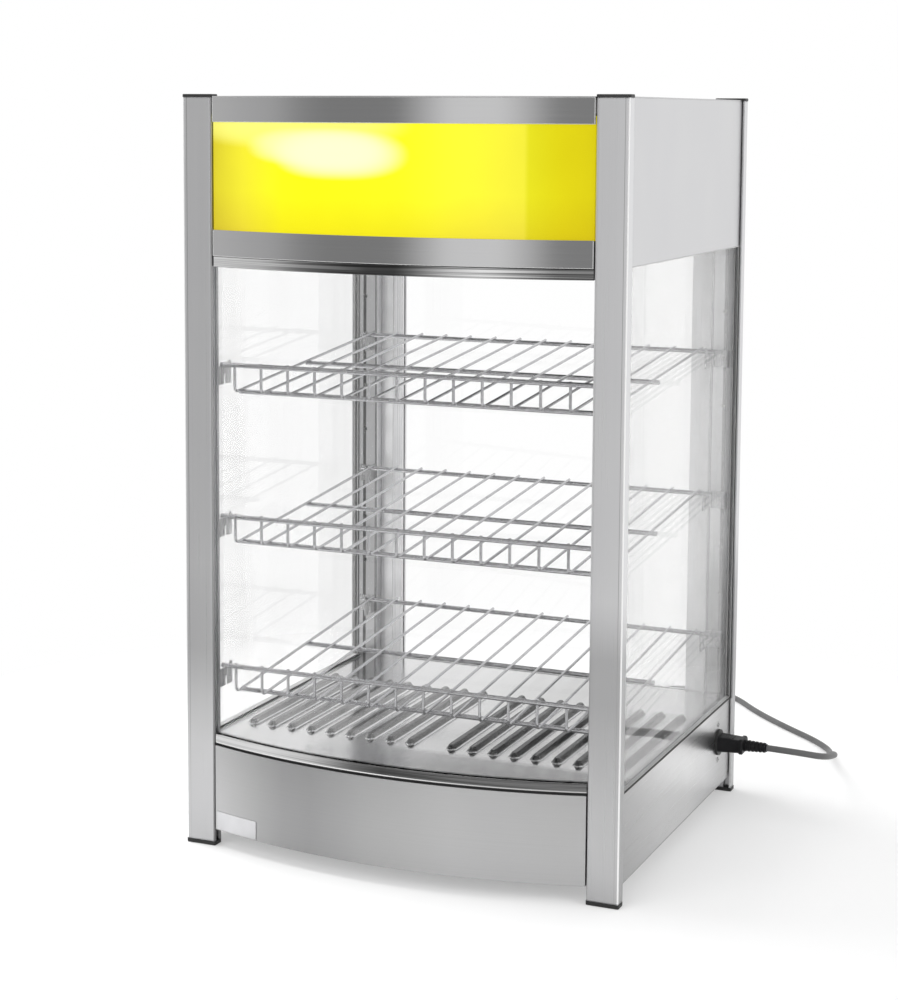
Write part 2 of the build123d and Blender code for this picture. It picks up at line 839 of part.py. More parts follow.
top_rail_low = head_low - glass_top_rail_high
glass_groove_high = head_low - glass_groove_roof
with BuildPart() as upper_glass_rail:
    extrude(
        bowed_band(glass_rail_back, glass_rail_deep + glass_rail_back, front_half, top_rail_low),
        amount=glass_top_rail_high,
    )
    extrude(
        bowed_band(groove_near, groove_far, half_width, top_rail_low),
        amount=glass_groove_high - top_rail_low, mode=Mode.SUBTRACT,
    )
save(upper_glass_rail.part, "upper_glass_rail")

with BuildPart() as front_glass:
    glass_low = glass_groove_low + seat_gap
    extrude(
        bowed_band(glass_setback, glass_setback + glass_thick, glass_half, glass_low),
        amount=glass_groove_high - seat_gap - glass_low,
    )
save(front_glass.part, "front_glass")

side_glass_low = side_top + side_seal_high
side_glass_high = head_low + side_glass_rise
side_glass_near = front_bay - side_slot_deep + seal_web
side_glass_far = back_bay + side_slot_deep - seal_web
for side, side_name in ((-1, "left"), (1, "right")):
    with BuildPart() as side_glass:
        with BuildSketch(Plane.XY.offset(side_glass_low)):
            with Locations((side * (glass_out_x - glass_thick / 2), (side_glass_near + side_glass_far) / 2)):
                Rectangle(glass_thick, side_glass_far - side_glass_near)
        extrude(amount=side_glass_high - side_glass_low)
    save(side_glass.part, f"side_glass_{side_name}")

side_glass_x = glass_out_x - glass_thick / 2
header_side_low = side_glass_high + side_top_seal
with BuildPart() as side_glass_seals:
    for side in (-1, 1):
        with BuildSketch(Plane.XY.offset(side_top)):
            with Locations((side * side_glass_x, (front_bay + back_bay) / 2)):
                Rectangle(side_slot_wide, back_bay - front_bay - 2 * seal_proud)
        extrude(amount=side_seal_high)
        with BuildSketch(Plane.XY.offset(side_glass_high)):
            with Locations((side * side_glass_x, (front_bay + back_bay) / 2)):
                Rectangle(glass_thick, back_bay - front_bay - 2 * seal_proud)
        extrude(amount=side_top_seal)
        for bay_y, inward in ((front_bay, 1), (back_bay, -1)):
            with BuildSketch(Plane.XY.offset(side_glass_low)):
                seal_middle = bay_y + inward * (seal_proud - side_slot_deep) / 2
                with Locations((side * side_glass_x, seal_middle)):
                    Rectangle(side_slot_wide, side_slot_deep + seal_proud)
                with Locations((side * side_glass_x, seal_middle + inward * seal_web)):
                    Rectangle(glass_thick, side_slot_deep + seal_proud, mode=Mode.SUBTRACT)
            extrude(amount=side_glass_high - side_glass_low)
save(side_glass_seals.part, "side_glass_seals")

# Lit head: rails, sign, side and rear panels, roof and ceiling
with BuildPart() as sign_lower_rail:
    extrude(bowed_band(0, rail_deep, front_half, head_low), amount=sign_low - head_low)
    extrude(
        bowed_band(rail_skin, rail_skin + sign_slot, half_width, sign_low - sign_grip),
        amount=sign_grip, mode=Mode.SUBTRACT,
    )
    extrude(
        bowed_band(rail_skin, rail_deep - rail_skin, half_width, head_low + rail_skin),
        amount=sign_low - head_low - sign_grip - 2 * rail_skin, mode=Mode.SUBTRACT,
    )
save(sign_lower_rail.part, "sign_lower_rail")

with BuildPart() as sign_upper_rail:
    extrude(bowed_band(0, rail_deep, front_half, sign_high), amount=roof_low - sign_high)
    extrude(
        bowed_band(rail_skin, rail_skin + sign_slot, half_width, sign_high),
        amount=sign_grip, mode=Mode.SUBTRACT,
    )
    extrude(
        bowed_band(rail_skin, rail_deep - rail_skin, half_width, sign_high + sign_grip + rail_skin),
        amount=roof_low - sign_high - sign_grip - 2 * rail_skin, mode=Mode.SUBTRACT,
    )
save(sign_upper_rail.part, "sign_upper_rail")

with BuildPart() as sign_panel:
    sign_near = rail_skin + sign_slot_gap
    sign_foot = sign_low - sign_grip + sign_slot_gap
    extrude(
        bowed_band(sign_near, sign_near + sign_thick, front_half - sign_slot_gap, sign_foot),
        amount=sign_high + sign_grip - sign_slot_gap - sign_foot,
    )
save(sign_panel.part, "sign_panel")

for side, side_name in ((-1, "left"), (1, "right")):
    save(
        make_side_panel(side, header_side_low, roof_low, panel_flange, roof_low),
        f"header_side_{side_name}",
    )

with BuildPart() as ceiling_plate:
    ceiling_half = side_glass_x - side_slot_wide / 2 - seat_gap
    extrude(
        bowed_plate(rail_deep + seat_gap, ceiling_low, front_half, ceiling_half, panel_back, seat_gap),
        amount=sheet,
    )
    with BuildSketch(Plane.XY.offset(ceiling_low)):
        with Locations((lamp_x, front_y + lamp_from_front)):
            Rectangle(2 * window_half, window_deep)
    extrude(amount=sheet, mode=Mode.SUBTRACT)
save(ceiling_plate.part, "ceiling_plate")

with BuildPart() as ceiling_window:
    with BuildSketch(Plane.XY.offset(ceiling_top)):
        with Locations((lamp_x, front_y + lamp_from_front)):
            Rectangle(2 * (window_half + window_lip), window_deep + 2 * window_lip)
    extrude(amount=window_thick)
save(ceiling_window.part, "ceiling_window")

with BuildPart() as header_rear_panel:
    with BuildSketch(Plane.XZ.offset(-panel_front)):
        with Locations((0, (ceiling_top + roof_low) / 2)):
            Rectangle(2 * (post_inner - seat_gap), roof_low - ceiling_top)
        with Locations((catch_x, door_high - catch_drop)):
            Rectangle(catch_long + 2 * screw_gap, catch_high + 2 * screw_gap, mode=Mode.SUBTRACT)
        with Locations((0, roof_low - head_vent_drop)):
            with GridLocations(head_vent_pitch, 1, head_vent_count, 1):
                SlotOverall(rear_vent_long, rear_vent_wide, rotation=90, mode=Mode.SUBTRACT)
    extrude(amount=-sheet)
save(header_rear_panel.part, "header_rear_panel")

with BuildPart() as roof_plate:
    extrude(
        bowed_plate(0, roof_low, front_half, side_out, panel_back, seat_gap + cap_lip),
        amount=roof_thick,
    )
save(roof_plate.part, "roof_plate")

# Lamp on its bracket
lamp_y = front_y + lamp_from_front
lamp_web_y = front_y + lamp_bracket_from_front
with BuildPart() as lamp_bracket:
    with BuildSketch(Plane.YZ.offset(lamp_x - lamp_bracket_half)):
        with BuildLine():
            foot_back = lamp_web_y + lamp_bracket_foot
            web_back = lamp_web_y + sheet
            web_top = ceiling_top + lamp_bracket_high
            Polyline(
                (lamp_web_y, ceiling_top), (foot_back, ceiling_top), (foot_back, ceiling_top + sheet),
                (web_back, ceiling_top + sheet), (web_back, web_top), (lamp_web_y, web_top),
                (lamp_web_y, ceiling_top),
            )
        make_face()
    extrude(amount=2 * lamp_bracket_half)
save(lamp_bracket.part, "lamp_bracket")

with BuildPart() as lamp_holders:
    for side in (-1, 1):
        holder_x = lamp_x + side * (lamp_long / 2 - lamp_grip)
        with BuildSketch(Plane.YZ.offset(holder_x)):
            with BuildLine():
                holder_near = lamp_y - lamp_holder_high / 2
                holder_low = lamp_level - lamp_holder_high / 2
                holder_high = lamp_level + lamp_holder_high / 2
                Line((lamp_web_y, holder_low), (lamp_y, holder_low))
                ThreePointArc((lamp_y, holder_low), (holder_near, lamp_level), (lamp_y, holder_high))
                Line((lamp_y, holder_high), (lamp_web_y, holder_high))
                Line((lamp_web_y, holder_high), (lamp_web_y, holder_low))
            make_face()
        extrude(amount=side * lamp_holder_thick)
        with BuildSketch(Plane.YZ.offset(holder_x)):
            with Locations((lamp_y, lamp_level)):
                Circle(lamp_radius + screw_gap)
        extrude(amount=side * lamp_grip, mode=Mode.SUBTRACT)
save(lamp_holders.part, "lamp_holders")

with BuildPart() as lamp_tube:
    with BuildSketch(Plane.YZ.offset(lamp_x - lamp_long / 2)):
        with Locations((lamp_y, lamp_level)):
            Circle(lamp_radius)
    extrude(amount=lamp_long)
    fillet(lamp_tube.edges(), lamp_radius / 4)
save(lamp_tube.part, "lamp_tube")


# Wire racks
def make_rack(level):
    upright_y = rack_front_y + rack_rim_radius + rack_wire_radius - rack_weld
    over_rim = rack_rim_radius + rack_wire_radius - rack_weld
    corner = (upright_y, level - rack_drop)
    tail = (rack_back_y + rack_wire_tail, level + over_rim)
    slope = (tail[1] - corner[1]) / (tail[0] - corner[0])
    wire_step = 2 * rack_half_wide / (rack_wires - 1)
    wire_places = [wire_step * step - rack_half_wide for step in range(rack_wires)]
    with BuildPart() as rack:
        for wire_x in wire_places:
            with BuildLine(Plane.YZ.offset(wire_x)) as wire_path:
                FilletPolyline((upright_y, level + rack_rim_radius), corner, tail, radius=rack_bend)
            with BuildSketch(Plane.XY.offset(level + rack_rim_radius)):
                with Locations((wire_x, upright_y)):
                    Circle(rack_wire_radius)
            sweep(path=wire_path.wires()[0])
        for rim_y in (rack_front_y, rack_back_y):
            with BuildSketch(Plane.YZ.offset(-rack_rim_half)):
                with Locations((rim_y, level)):
                    Circle(rack_rim_radius)
            extrude(amount=2 * rack_rim_half)
        cross_half = rack_half_wide + rack_cross_over
        for cross_y in (rack_front_y + rack_front_cross, rack_front_y + rack_middle_cross):
            cross_level = corner[1] + slope * (cross_y - upright_y) - over_rim
            with BuildSketch(Plane.YZ.offset(-cross_half)):
                with Locations((cross_y, cross_level)):
                    Circle(rack_rim_radius)
            extrude(amount=2 * cross_half)
    return rack.part


for rack_name, level in rack_levels.items():
    save(make_rack(level), f"rack_{rack_name}")


# Hooks that the racks hang in
def make_hook(side, bay_y, inward, level):
    plate_origin = (side * hook_plane, bay_y, level)
    plate_plane = Plane(origin=plate_origin, x_dir=(0, inward, 0), z_dir=(inward, 0, 0))
    wall = hook_seat + rack_rim_radius + seat_gap
    with BuildPart() as hook:
        with BuildSketch(plate_plane):
            with Locations((hook_reach / 2, -hook_high / 2)):
                Rectangle(hook_reach, hook_high)
            with Locations(((wall + hook_reach) / 2, (hook_lip - hook_high) / 2)):
                Rectangle(hook_reach - wall, hook_lip + hook_high)
            fillet(vertices().group_by(Axis.Y)[-1 if inward > 0 else 0], hook_round / 2)
            with Locations((hook_seat, 0)):
                Circle(rack_rim_radius + seat_gap, mode=Mode.SUBTRACT)
            with Locations((hook_slot_from_post + hook_slot_wide / 2, -hook_high + hook_slot_high / 2)):
                Rectangle(hook_slot_wide, hook_slot_high, mode=Mode.SUBTRACT)
        extrude(amount=side * inward * hook_sheet)
        with BuildSketch(Plane.XZ.offset(-bay_y)):
            with Locations((side * (hook_plane + hook_foot / 2), level - hook_high / 2)):
                Rectangle(hook_foot, hook_high)
            with Locations((side * chamber_x, level - hook_high / 2)):
                Circle(screw_radius + screw_gap, mode=Mode.SUBTRACT)
        extrude(amount=-inward * hook_sheet)
    return hook.part


hook_ends = [
    (side, bay_y, inward)
    for side in (-1, 1)
    for bay_y, inward in ((front_bay, 1), (back_bay, -1))
]
with BuildPart() as rack_brackets:
    for level in rack_levels.values():
        for side, bay_y, inward in hook_ends:
            add(make_hook(side, bay_y, inward, level))
save(rack_brackets.part, "rack_brackets")

# Door at the back
door_near = back_y + door_gap
door_back = door_near + door_thick
door_edge = door_thick / 2
hinge_x = -door_half_wide + door_edge
hinge_y = door_near + door_edge
door_middle = (door_low + door_high) / 2
door_tall = door_high - door_low
opening_half = door_half_wide - door_stile
opening_tall = door_tall - 2 * door_stile
with BuildPart() as door_frame:
    with BuildSketch(Plane.XZ.offset(-door_near)):
        with Locations((door_edge / 2, door_middle)):
            Rectangle(2 * door_half_wide - door_edge, door_tall)
        with Locations((0, door_middle)):
            Rectangle(2 * opening_half, opening_tall, mode=Mode.SUBTRACT)
    extrude(amount=-door_thick)
    with BuildSketch(Plane.XY.offset(door_low)):
        with Locations((hinge_x, hinge_y)):
            Circle(door_edge)
    extrude(amount=door_tall)
    with BuildSketch(Plane.XZ.offset(-hinge_y)):
        with Locations((0, door_middle)):
            Rectangle(2 * (opening_half + door_glass_grip), opening_tall + 2 * door_glass_grip)
    extrude(amount=glass_thick / 2 + glass_slot_gap, both=True, mode=Mode.SUBTRACT)
    with BuildSketch(Plane.XZ.offset(-hinge_y)):
        with Locations((0, door_middle)):
            Rectangle(2 * (door_half_wide - door_chamber_edge), door_tall - 2 * door_chamber_edge)
            inner_edge = opening_half + door_glass_grip + door_sheet
            Rectangle(2 * inner_edge, opening_tall + 2 * (door_glass_grip + door_sheet), mode=Mode.SUBTRACT)
    extrude(amount=door_edge - door_sheet, both=True, mode=Mode.SUBTRACT)
    for end_level, way in ((door_low, 1), (door_high, -1)):
        with BuildSketch(Plane.XY.offset(end_level)):
            with Locations((hinge_x, hinge_y)):
                Circle(hinge_pin_radius + hinge_pin_gap)
        extrude(amount=way * (hinge_pin_long + joint_gap), mode=Mode.SUBTRACT)
save(door_frame.part, "door_frame")

with BuildPart() as door_glass:
    with BuildSketch(Plane.XZ.offset(-hinge_y)):
        with Locations((0, door_middle)):
            grip = door_glass_grip - seat_gap
            Rectangle(2 * (opening_half + grip), opening_tall + 2 * grip)
    extrude(amount=glass_thick / 2, both=True)
save(door_glass.part, "door_glass")

with BuildPart() as door_gasket:
    with BuildSketch(Plane.XZ.offset(-door_near)):
        with Locations((0, door_middle)):
            Rectangle(2 * (door_half_wide - gasket_edge), door_tall - 2 * gasket_edge)
            gasket_inner = gasket_edge + gasket_wide
            Rectangle(2 * (door_half_wide - gasket_inner), door_tall - 2 * gasket_inner, mode=Mode.SUBTRACT)
    extrude(amount=gasket_thick)
save(door_gasket.part, "door_gasket")

with BuildPart() as door_handle:
    bar_y = door_back + handle_reach - handle_bar / 2
    with BuildSketch(Plane.XY.offset(door_middle - handle_long / 2)):
        with Locations((handle_x, bar_y)):
            Circle(handle_bar / 2)
    extrude(amount=handle_long)
    fillet(door_handle.edges(), handle_bar / 4)
    with BuildSketch(Plane.XZ.offset(-door_back)):
        with Locations((handle_x, door_middle)):
            with GridLocations(1, handle_long - 3 * handle_bar, 1, 2):
                Circle(handle_post_radius)
    extrude(amount=door_back - bar_y)
save(door_handle.part, "door_handle")

with BuildPart() as hinge_brackets:
    hinge_plate_x = -half_width + hinge_plate_wide / 2 + joint_gap
    for end_level, way in ((door_low, -1), (door_high, 1)):
        face = end_level + way * hinge_plate_gap
        with BuildSketch(Plane.XZ.offset(-back_y)):
            with Locations((hinge_plate_x, face + way * hinge_plate_long / 2)):
                Rectangle(hinge_plate_wide, hinge_plate_long)
            with Locations(*[(-chamber_x, level) for level in hinge_screw_levels]):
                Circle(screw_radius + screw_gap, mode=Mode.SUBTRACT)
        extrude(amount=-hinge_plate)
        with BuildSketch(Plane.XY.offset(face)):
            with Locations((hinge_plate_x, (back_y + hinge_y) / 2)):
                Rectangle(hinge_plate_wide, hinge_y - back_y)
            with Locations((hinge_x, hinge_y)):
                Circle(door_edge)
            with Locations(((hinge_plate_x + hinge_x) / 2, hinge_y - door_edge / 2)):
                Rectangle(hinge_x - hinge_plate_x, door_edge)
        extrude(amount=way * hinge_plate)
        with BuildSketch(Plane.XY.offset(face)):
            with Locations((hinge_x, hinge_y)):
                Circle(hinge_pin_radius)
        extrude(amount=-way * hinge_pin_long)
save(hinge_brackets.part, "hinge_brackets")

with BuildPart() as door_catch:
    with BuildSketch(Plane.XZ.offset(-door_near + catch_gap)):
        with Locations((catch_x, door_high - catch_drop)):
            Rectangle(catch_long, catch_high)
    extrude(amount=catch_deep)
save(door_catch.part, "door_catch")

# Mains cord: from the strain relief down to the surface and round behind the case
coil_y = front_y + coil_from_front
coil_low = cord_radius + coil_lift
coil_high = coil_low + coil_pitch
coil_start = (coil_x - coil_outer, coil_y + 2 * cord_radius, coil_low)
cord_points = [(relief_end, inlet_y, inlet_level)]
cord_points += [(x, front_y + from_front, level) for x, from_front, level in cord_route]
cord_points += [coil_start]
cord_radii = []
for before, here, after in zip(cord_points, cord_points[1:], cord_points[2:]):
    run_in = Vector(*here) - Vector(*before)
    run_out = Vector(*after) - Vector(*here)
    turn = radians(run_in.get_angle(run_out))
    cord_radii.append(arc_share * min(run_in.length, run_out.length) / tan(turn / 2))
print("cord radii", [round(radius, 1) for radius in cord_radii])
with BuildPart() as mains_cord:
    with BuildLine() as cord_path:
        FilletPolyline(*cord_points, radius=cord_radii)
    cord_wire = cord_path.wires()[0]
    with BuildSketch(Plane(origin=cord_wire @ 0, z_dir=cord_wire % 0)):
        Circle(cord_radius)
    sweep(path=cord_wire)
tube_volume = pi * cord_radius**2 * cord_wire.length
print("cord length", round(cord_wire.length), "volume share", round(mains_cord.part.volume / tube_volume, 4))
save(mains_cord.part, "mains_cord")

# Spare length wound into two layers: two turns in, up a layer, and out again
half_step = coil_pitch / 2
coil_inner = coil_outer - 4 * half_step
with BuildPart() as cord_coil:
    with BuildLine() as coil_path:
        here = Vector(coil_x - coil_outer, coil_y, coil_low)
        Line(coil_start, here)
        turn_radius = coil_outer
        for half_turn in range(4):
            way = 1 if half_turn % 2 == 0 else -1
            top = here + Vector(way * turn_radius, -way * turn_radius, 0)
            end = here + Vector(way * 2 * turn_radius, 0, 0)
            ThreePointArc(here, top, end)
            here = end
            turn_radius -= half_step
        climb_end = here + Vector(2 * coil_inner, 0, coil_pitch)
        climb_reach = (climb_end - here).length / 2
        climb_middle = (here + climb_end) / 2 - Vector(0, climb_reach, 0)
        rise = TangentArc(here, climb_middle, tangent=(0, -1, 0))
        TangentArc(climb_middle, climb_end, tangent=rise % 1)
        here = climb_end
        for half_turn in range(3):
            turn_radius += half_step
            way = -1 if half_turn % 2 == 0 else 1
            top = here + Vector(way * turn_radius, -way * turn_radius, 0)
            end = here + Vector(way * 2 * turn_radius, 0, 0)
            ThreePointArc(here, top, end)
            here = end
        slant = coil_outer * sqrt(0.5)
        coil_end = here + Vector(coil_outer, -coil_outer, 0)
        ThreePointArc(here, here + Vector(coil_outer - slant, -slant, 0), coil_end)
        Line(coil_end, coil_end + Vector(coil_tail, 0, 0))
    coil_wire = coil_path.wires()[0]
    with BuildSketch(Plane(origin=coil_wire @ 0, z_dir=coil_wire % 0)):
        Circle(cord_radius)
    sweep(path=coil_wire)
save(cord_coil.part, "cord_coil")

coil_samples = 1200
coil_points = [coil_wire.position_at(step / coil_samples) for step in range(coil_samples + 1)]
far_along = int(4 * cord_radius / coil_wire.length * coil_samples) + 2
least_gap = min(
    (one - other).length
    for place, one in enumerate(coil_points)
    for other in coil_points[place + far_along:]
) - 2 * cord_radius
print("coil length", round(coil_wire.length), "least gap", round(least_gap, 2))

with BuildPart() as cord_tie:
    tie_reach = half_step + tie_wide / 2
    bundle_near = coil_y + sqrt((coil_inner + half_step) ** 2 - tie_reach**2) - cord_radius - tie_gap
    bundle_far = coil_y + coil_outer - half_step + cord_radius + tie_gap
    bundle_low = coil_lift - tie_gap
    bundle_high = coil_high + cord_radius + tie_gap
    with BuildSketch(Plane.YZ.offset(coil_x - tie_wide / 2)):
        with Locations(((bundle_near + bundle_far) / 2, (bundle_low + bundle_high) / 2)):
            tie_corner = cord_radius / 2
            RectangleRounded(
                bundle_far - bundle_near + 2 * tie_thick, bundle_high - bundle_low + 2 * tie_thick,
                tie_corner + tie_thick,
            )
            RectangleRounded(
                bundle_far - bundle_near, bundle_high - bundle_low, tie_corner, mode=Mode.SUBTRACT
            )
    extrude(amount=tie_wide)
save(cord_tie.part, "cord_tie")

with BuildPart() as mains_plug:
    neck_start = coil_x + coil_tail
    neck_y = coil_y - coil_outer
    plug_x = neck_start + plug_neck_long + plug_radius
    with BuildSketch():
        with Locations((plug_x, neck_y)):
            Circle(plug_radius)
    extrude(amount=plug_high)
    fillet(mains_plug.edges().group_by(Axis.Z)[0], plug_round)
    fillet(mains_plug.edges().group_by(Axis.Z)[-1], plug_round)
    with BuildSketch(Plane.YZ.offset(neck_start)):
        with Locations((neck_y, coil_high)):
            Circle(relief_tip_radius)
    with BuildSketch(Plane.YZ.offset(plug_x - plug_radius / 2)):
        with Locations((neck_y, coil_high)):
            Circle(plug_neck_radius)
    loft()
    with BuildSketch(Plane.XY.offset(plug_high)):
        with Locations((plug_x, neck_y)):
            with GridLocations(1, pin_pitch, 1, 2):
                Circle(pin_radius)
    extrude(amount=pin_long, taper=pin_draft)
save(mains_plug.part, "mains_plug")

# Screws of the hooks, the hinge brackets and the inlet
hook_screws = [
    Plane(origin=(side * chamber_x, bay_y + inward * hook_sheet, level - hook_high / 2), z_dir=(0, inward, 0))
    for side, bay_y, inward in hook_ends
    for level in rack_levels.values()
]
hinge_screws = [
    Plane(origin=(-chamber_x, back_y + hinge_plate, level), z_dir=(0, 1, 0))
    for level in hinge_screw_levels
]
inlet_screws = [
    Plane(origin=(side_out, inlet_y, inlet_level + way * inlet_screw_pitch / 2), z_dir=(1, 0, 0))
    for way in (-1, 1)
]
with BuildPart() as case_screws:
    for screw_plane in hook_screws + hinge_screws + inlet_screws:
        with BuildSketch(screw_plane):
            Circle(screw_head_radius)
        extrude(amount=screw_head, taper=screw_draft)
        with BuildSketch(screw_plane):
            Circle(screw_radius)
        extrude(amount=-screw_long)
save(case_screws.part, "case_screws")
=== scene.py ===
import bpy, bmesh, math
from mathutils import Matrix, Vector


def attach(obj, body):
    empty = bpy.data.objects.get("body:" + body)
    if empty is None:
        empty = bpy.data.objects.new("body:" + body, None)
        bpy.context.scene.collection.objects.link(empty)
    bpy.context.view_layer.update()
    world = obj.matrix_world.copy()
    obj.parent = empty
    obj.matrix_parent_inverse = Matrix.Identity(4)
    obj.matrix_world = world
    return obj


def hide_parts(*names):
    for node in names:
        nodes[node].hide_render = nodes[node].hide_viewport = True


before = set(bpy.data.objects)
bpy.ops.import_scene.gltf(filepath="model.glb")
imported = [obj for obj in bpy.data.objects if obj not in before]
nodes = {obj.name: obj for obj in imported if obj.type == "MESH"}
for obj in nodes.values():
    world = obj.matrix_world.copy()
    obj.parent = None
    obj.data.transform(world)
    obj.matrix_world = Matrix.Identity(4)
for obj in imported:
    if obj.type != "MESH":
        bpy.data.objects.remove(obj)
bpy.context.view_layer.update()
print("frame loaded:", len(nodes), "nodes")


# small helpers for building node materials
plain = (1.0, 1.0, 1.0)


def newMaterial(name):
    mat = bpy.data.materials.new(name)
    mat.use_nodes = True
    shader = mat.node_tree.nodes["Principled BSDF"]
    return mat, mat.node_tree, shader


def addNode(tree, kind, inputs=None, **settings):
    node = tree.nodes.new(kind)
    for key, value in settings.items():
        setattr(node, key, value)
    for key, value in (inputs or {}).items():
        node.inputs[key].default_value = value
    return node


def mathNode(tree, operation, *values):
    # each value is a socket or a number
    node = addNode(tree, "ShaderNodeMath", operation=operation)
    for socket, value in zip(node.inputs, values):
        if isinstance(value, (int, float)):
            socket.default_value = value
        else:
            tree.links.new(value, socket)
    return node.outputs[0]


def remap(tree, value, low, high, start=0.3, end=0.7):
    node = addNode(tree, "ShaderNodeMapRange", {
        "From Min": start, "From Max": end, "To Min": low, "To Max": high})
    tree.links.new(value, node.inputs["Value"])
    return node.outputs["Result"]


def placeAxes(tree):
    # the place on the case, and the distance to its middle plane
    coord = addNode(tree, "ShaderNodeTexCoord")
    split = addNode(tree, "ShaderNodeSeparateXYZ")
    tree.links.new(coord.outputs["Object"], split.inputs[0])
    axes = {"X": split.outputs["X"], "Y": split.outputs["Y"], "Z": split.outputs["Z"]}
    axes["aside"] = mathNode(tree, "ABSOLUTE", axes["X"])
    return axes


def facingMask(tree, axis, start=-0.75, end=-0.35):
    # 1 where the surface looks back along an axis, 0 where it looks elsewhere
    coord = addNode(tree, "ShaderNodeTexCoord")
    split = addNode(tree, "ShaderNodeSeparateXYZ")
    tree.links.new(coord.outputs["Normal"], split.inputs[0])
    return remap(tree, split.outputs[axis], 1.0, 0.0, start, end)


def heightMask(tree, low, high):
    # 0 below one level of the case and 1 above the other
    return remap(tree, placeAxes(tree)["Z"], 0.0, 1.0, low, high)


def bandMask(tree, value, place, halfWide):
    # 1 within a narrow band about a place
    return mathNode(tree, "COMPARE", value, place, halfWide)


def linesMask(tree, lines):
    # 1 on narrow lines of the case: each an axis, a place and half a width
    axes = placeAxes(tree)
    mask = 0.0
    for axis, place, halfWide in lines:
        mask = mathNode(tree, "MAXIMUM", bandMask(tree, axes[axis], place, halfWide), mask)
    return mask


def grainNoise(tree, stretch, detail=3.0):
    # noise in the part's own metres, stretched along the brushing
    coord = addNode(tree, "ShaderNodeTexCoord")
    mapping = addNode(tree, "ShaderNodeMapping", {"Scale": stretch})
    noise = addNode(tree, "ShaderNodeTexNoise", {"Scale": 1.0, "Detail": detail, "Roughness": 0.6})
    tree.links.new(coord.outputs["Object"], mapping.inputs["Vector"])
    tree.links.new(mapping.outputs["Vector"], noise.inputs["Vector"])
    return noise.outputs["Fac"]


def tint(tree, value, darkColor, lightColor, start=0.3, end=0.7):
    ramp = addNode(tree, "ShaderNodeValToRGB")
    ramp.color_ramp.elements[0].position = start
    ramp.color_ramp.elements[0].color = (*darkColor, 1)
    ramp.color_ramp.elements[1].position = end
    ramp.color_ramp.elements[1].color = (*lightColor, 1)
    tree.links.new(value, ramp.inputs["Fac"])
    return ramp.outputs["Color"]


def toneRamp(tree, value, stops):
    # tones or colours set at places along a value from 0 to 1
    ramp = addNode(tree, "ShaderNodeValToRGB")
    while len(ramp.color_ramp.elements) < len(stops):
        ramp.color_ramp.elements.new(0.5)
    for element, (place, tone) in zip(ramp.color_ramp.elements, stops):
        element.position = place
        element.color = (*(tone if isinstance(tone, tuple) else (tone,) * 3), 1)
    tree.links.new(value, ramp.inputs["Fac"])
    return ramp.outputs["Color"]


def blendColor(tree, mask, first, second):
    # two colours, or two colour sockets, mixed by a mask
    node = addNode(tree, "ShaderNodeMix", data_type="RGBA")
    tree.links.new(mask, node.inputs["Factor"])
    for socket, color in (("A", first), ("B", second)):
        if isinstance(color, tuple):
            node.inputs[socket].default_value = (*color, 1)
        else:
            tree.links.new(color, node.inputs[socket])
    return node.outputs["Result"]


def product(tree, first, second):
    node = addNode(tree, "ShaderNodeMix", data_type="RGBA", blend_type="MULTIPLY")
    node.inputs["Factor"].default_value = 1.0
    tree.links.new(first, node.inputs["A"])
    tree.links.new(second, node.inputs["B"])
    return node.outputs["Result"]


def softEdge(tree, radius):
    # rounds the shading at sharp sheet edges
    bevel = addNode(tree, "ShaderNodeBevel", {"Radius": radius}, samples=4)
    return bevel.outputs["Normal"]


def addBump(tree, shader, height, strength, distance, edge=None):
    bump = addNode(tree, "ShaderNodeBump", {"Strength": strength, "Distance": distance})
    tree.links.new(height, bump.inputs["Height"])
    if edge:
        tree.links.new(edge, bump.inputs["Normal"])
    tree.links.new(bump.outputs["Normal"], shader.inputs["Normal"])


def recolor(mat, change):
    # passes the base colour that a finish has so far through one more step
    tree = mat.node_tree
    socket = tree.nodes["Principled BSDF"].inputs["Base Color"]
    tree.links.new(change(tree, socket.links[0].from_socket), socket)
    return mat


def colorWhere(mat, findMask, color):
    # another colour where a mask is 1
    return recolor(mat, lambda tree, base: blendColor(tree, findMask(tree), base, color))


def shadeWhere(mat, findMask, shade):
    # the finish so far, times a shade, where a mask is 1
    def change(tree, base):
        return product(tree, base, blendColor(tree, findMask(tree), plain, shade))
    return recolor(mat, change)


def metalWhere(mat, findMask, elsewhere, there):
    # how metallic a finish is, where a mask is 0 and where it is 1
    tree = mat.node_tree
    metallic = remap(tree, findMask(tree), elsewhere, there, 0.0, 1.0)
    tree.links.new(metallic, tree.nodes["Principled BSDF"].inputs["Metallic"])


def tonedAlong(mat, axis, span, stops):
    # a slow change of tone between two places along one axis of the case
    def change(tree, base):
        share = remap(tree, placeAxes(tree)[axis], 0.0, 1.0, *span)
        return product(tree, base, toneRamp(tree, share, stops))
    return recolor(mat, change)


def lookingForward(tree):
    # 1 on faces that look towards the front of the case
    return facingMask(tree, "Y")


metalFacts = {
    "cloud": (7.0, 7.0, 5.0), "cloudTone": (0.96, 0.96, 0.97), "reliefDepth": 0.0002,
}
plasticFacts = {
    "cloud": (20.0, 20.0, 20.0), "lighter": 1.35, "lift": 0.004, "reliefDepth": 0.0002, "edgeRadius": 0.0005,
}


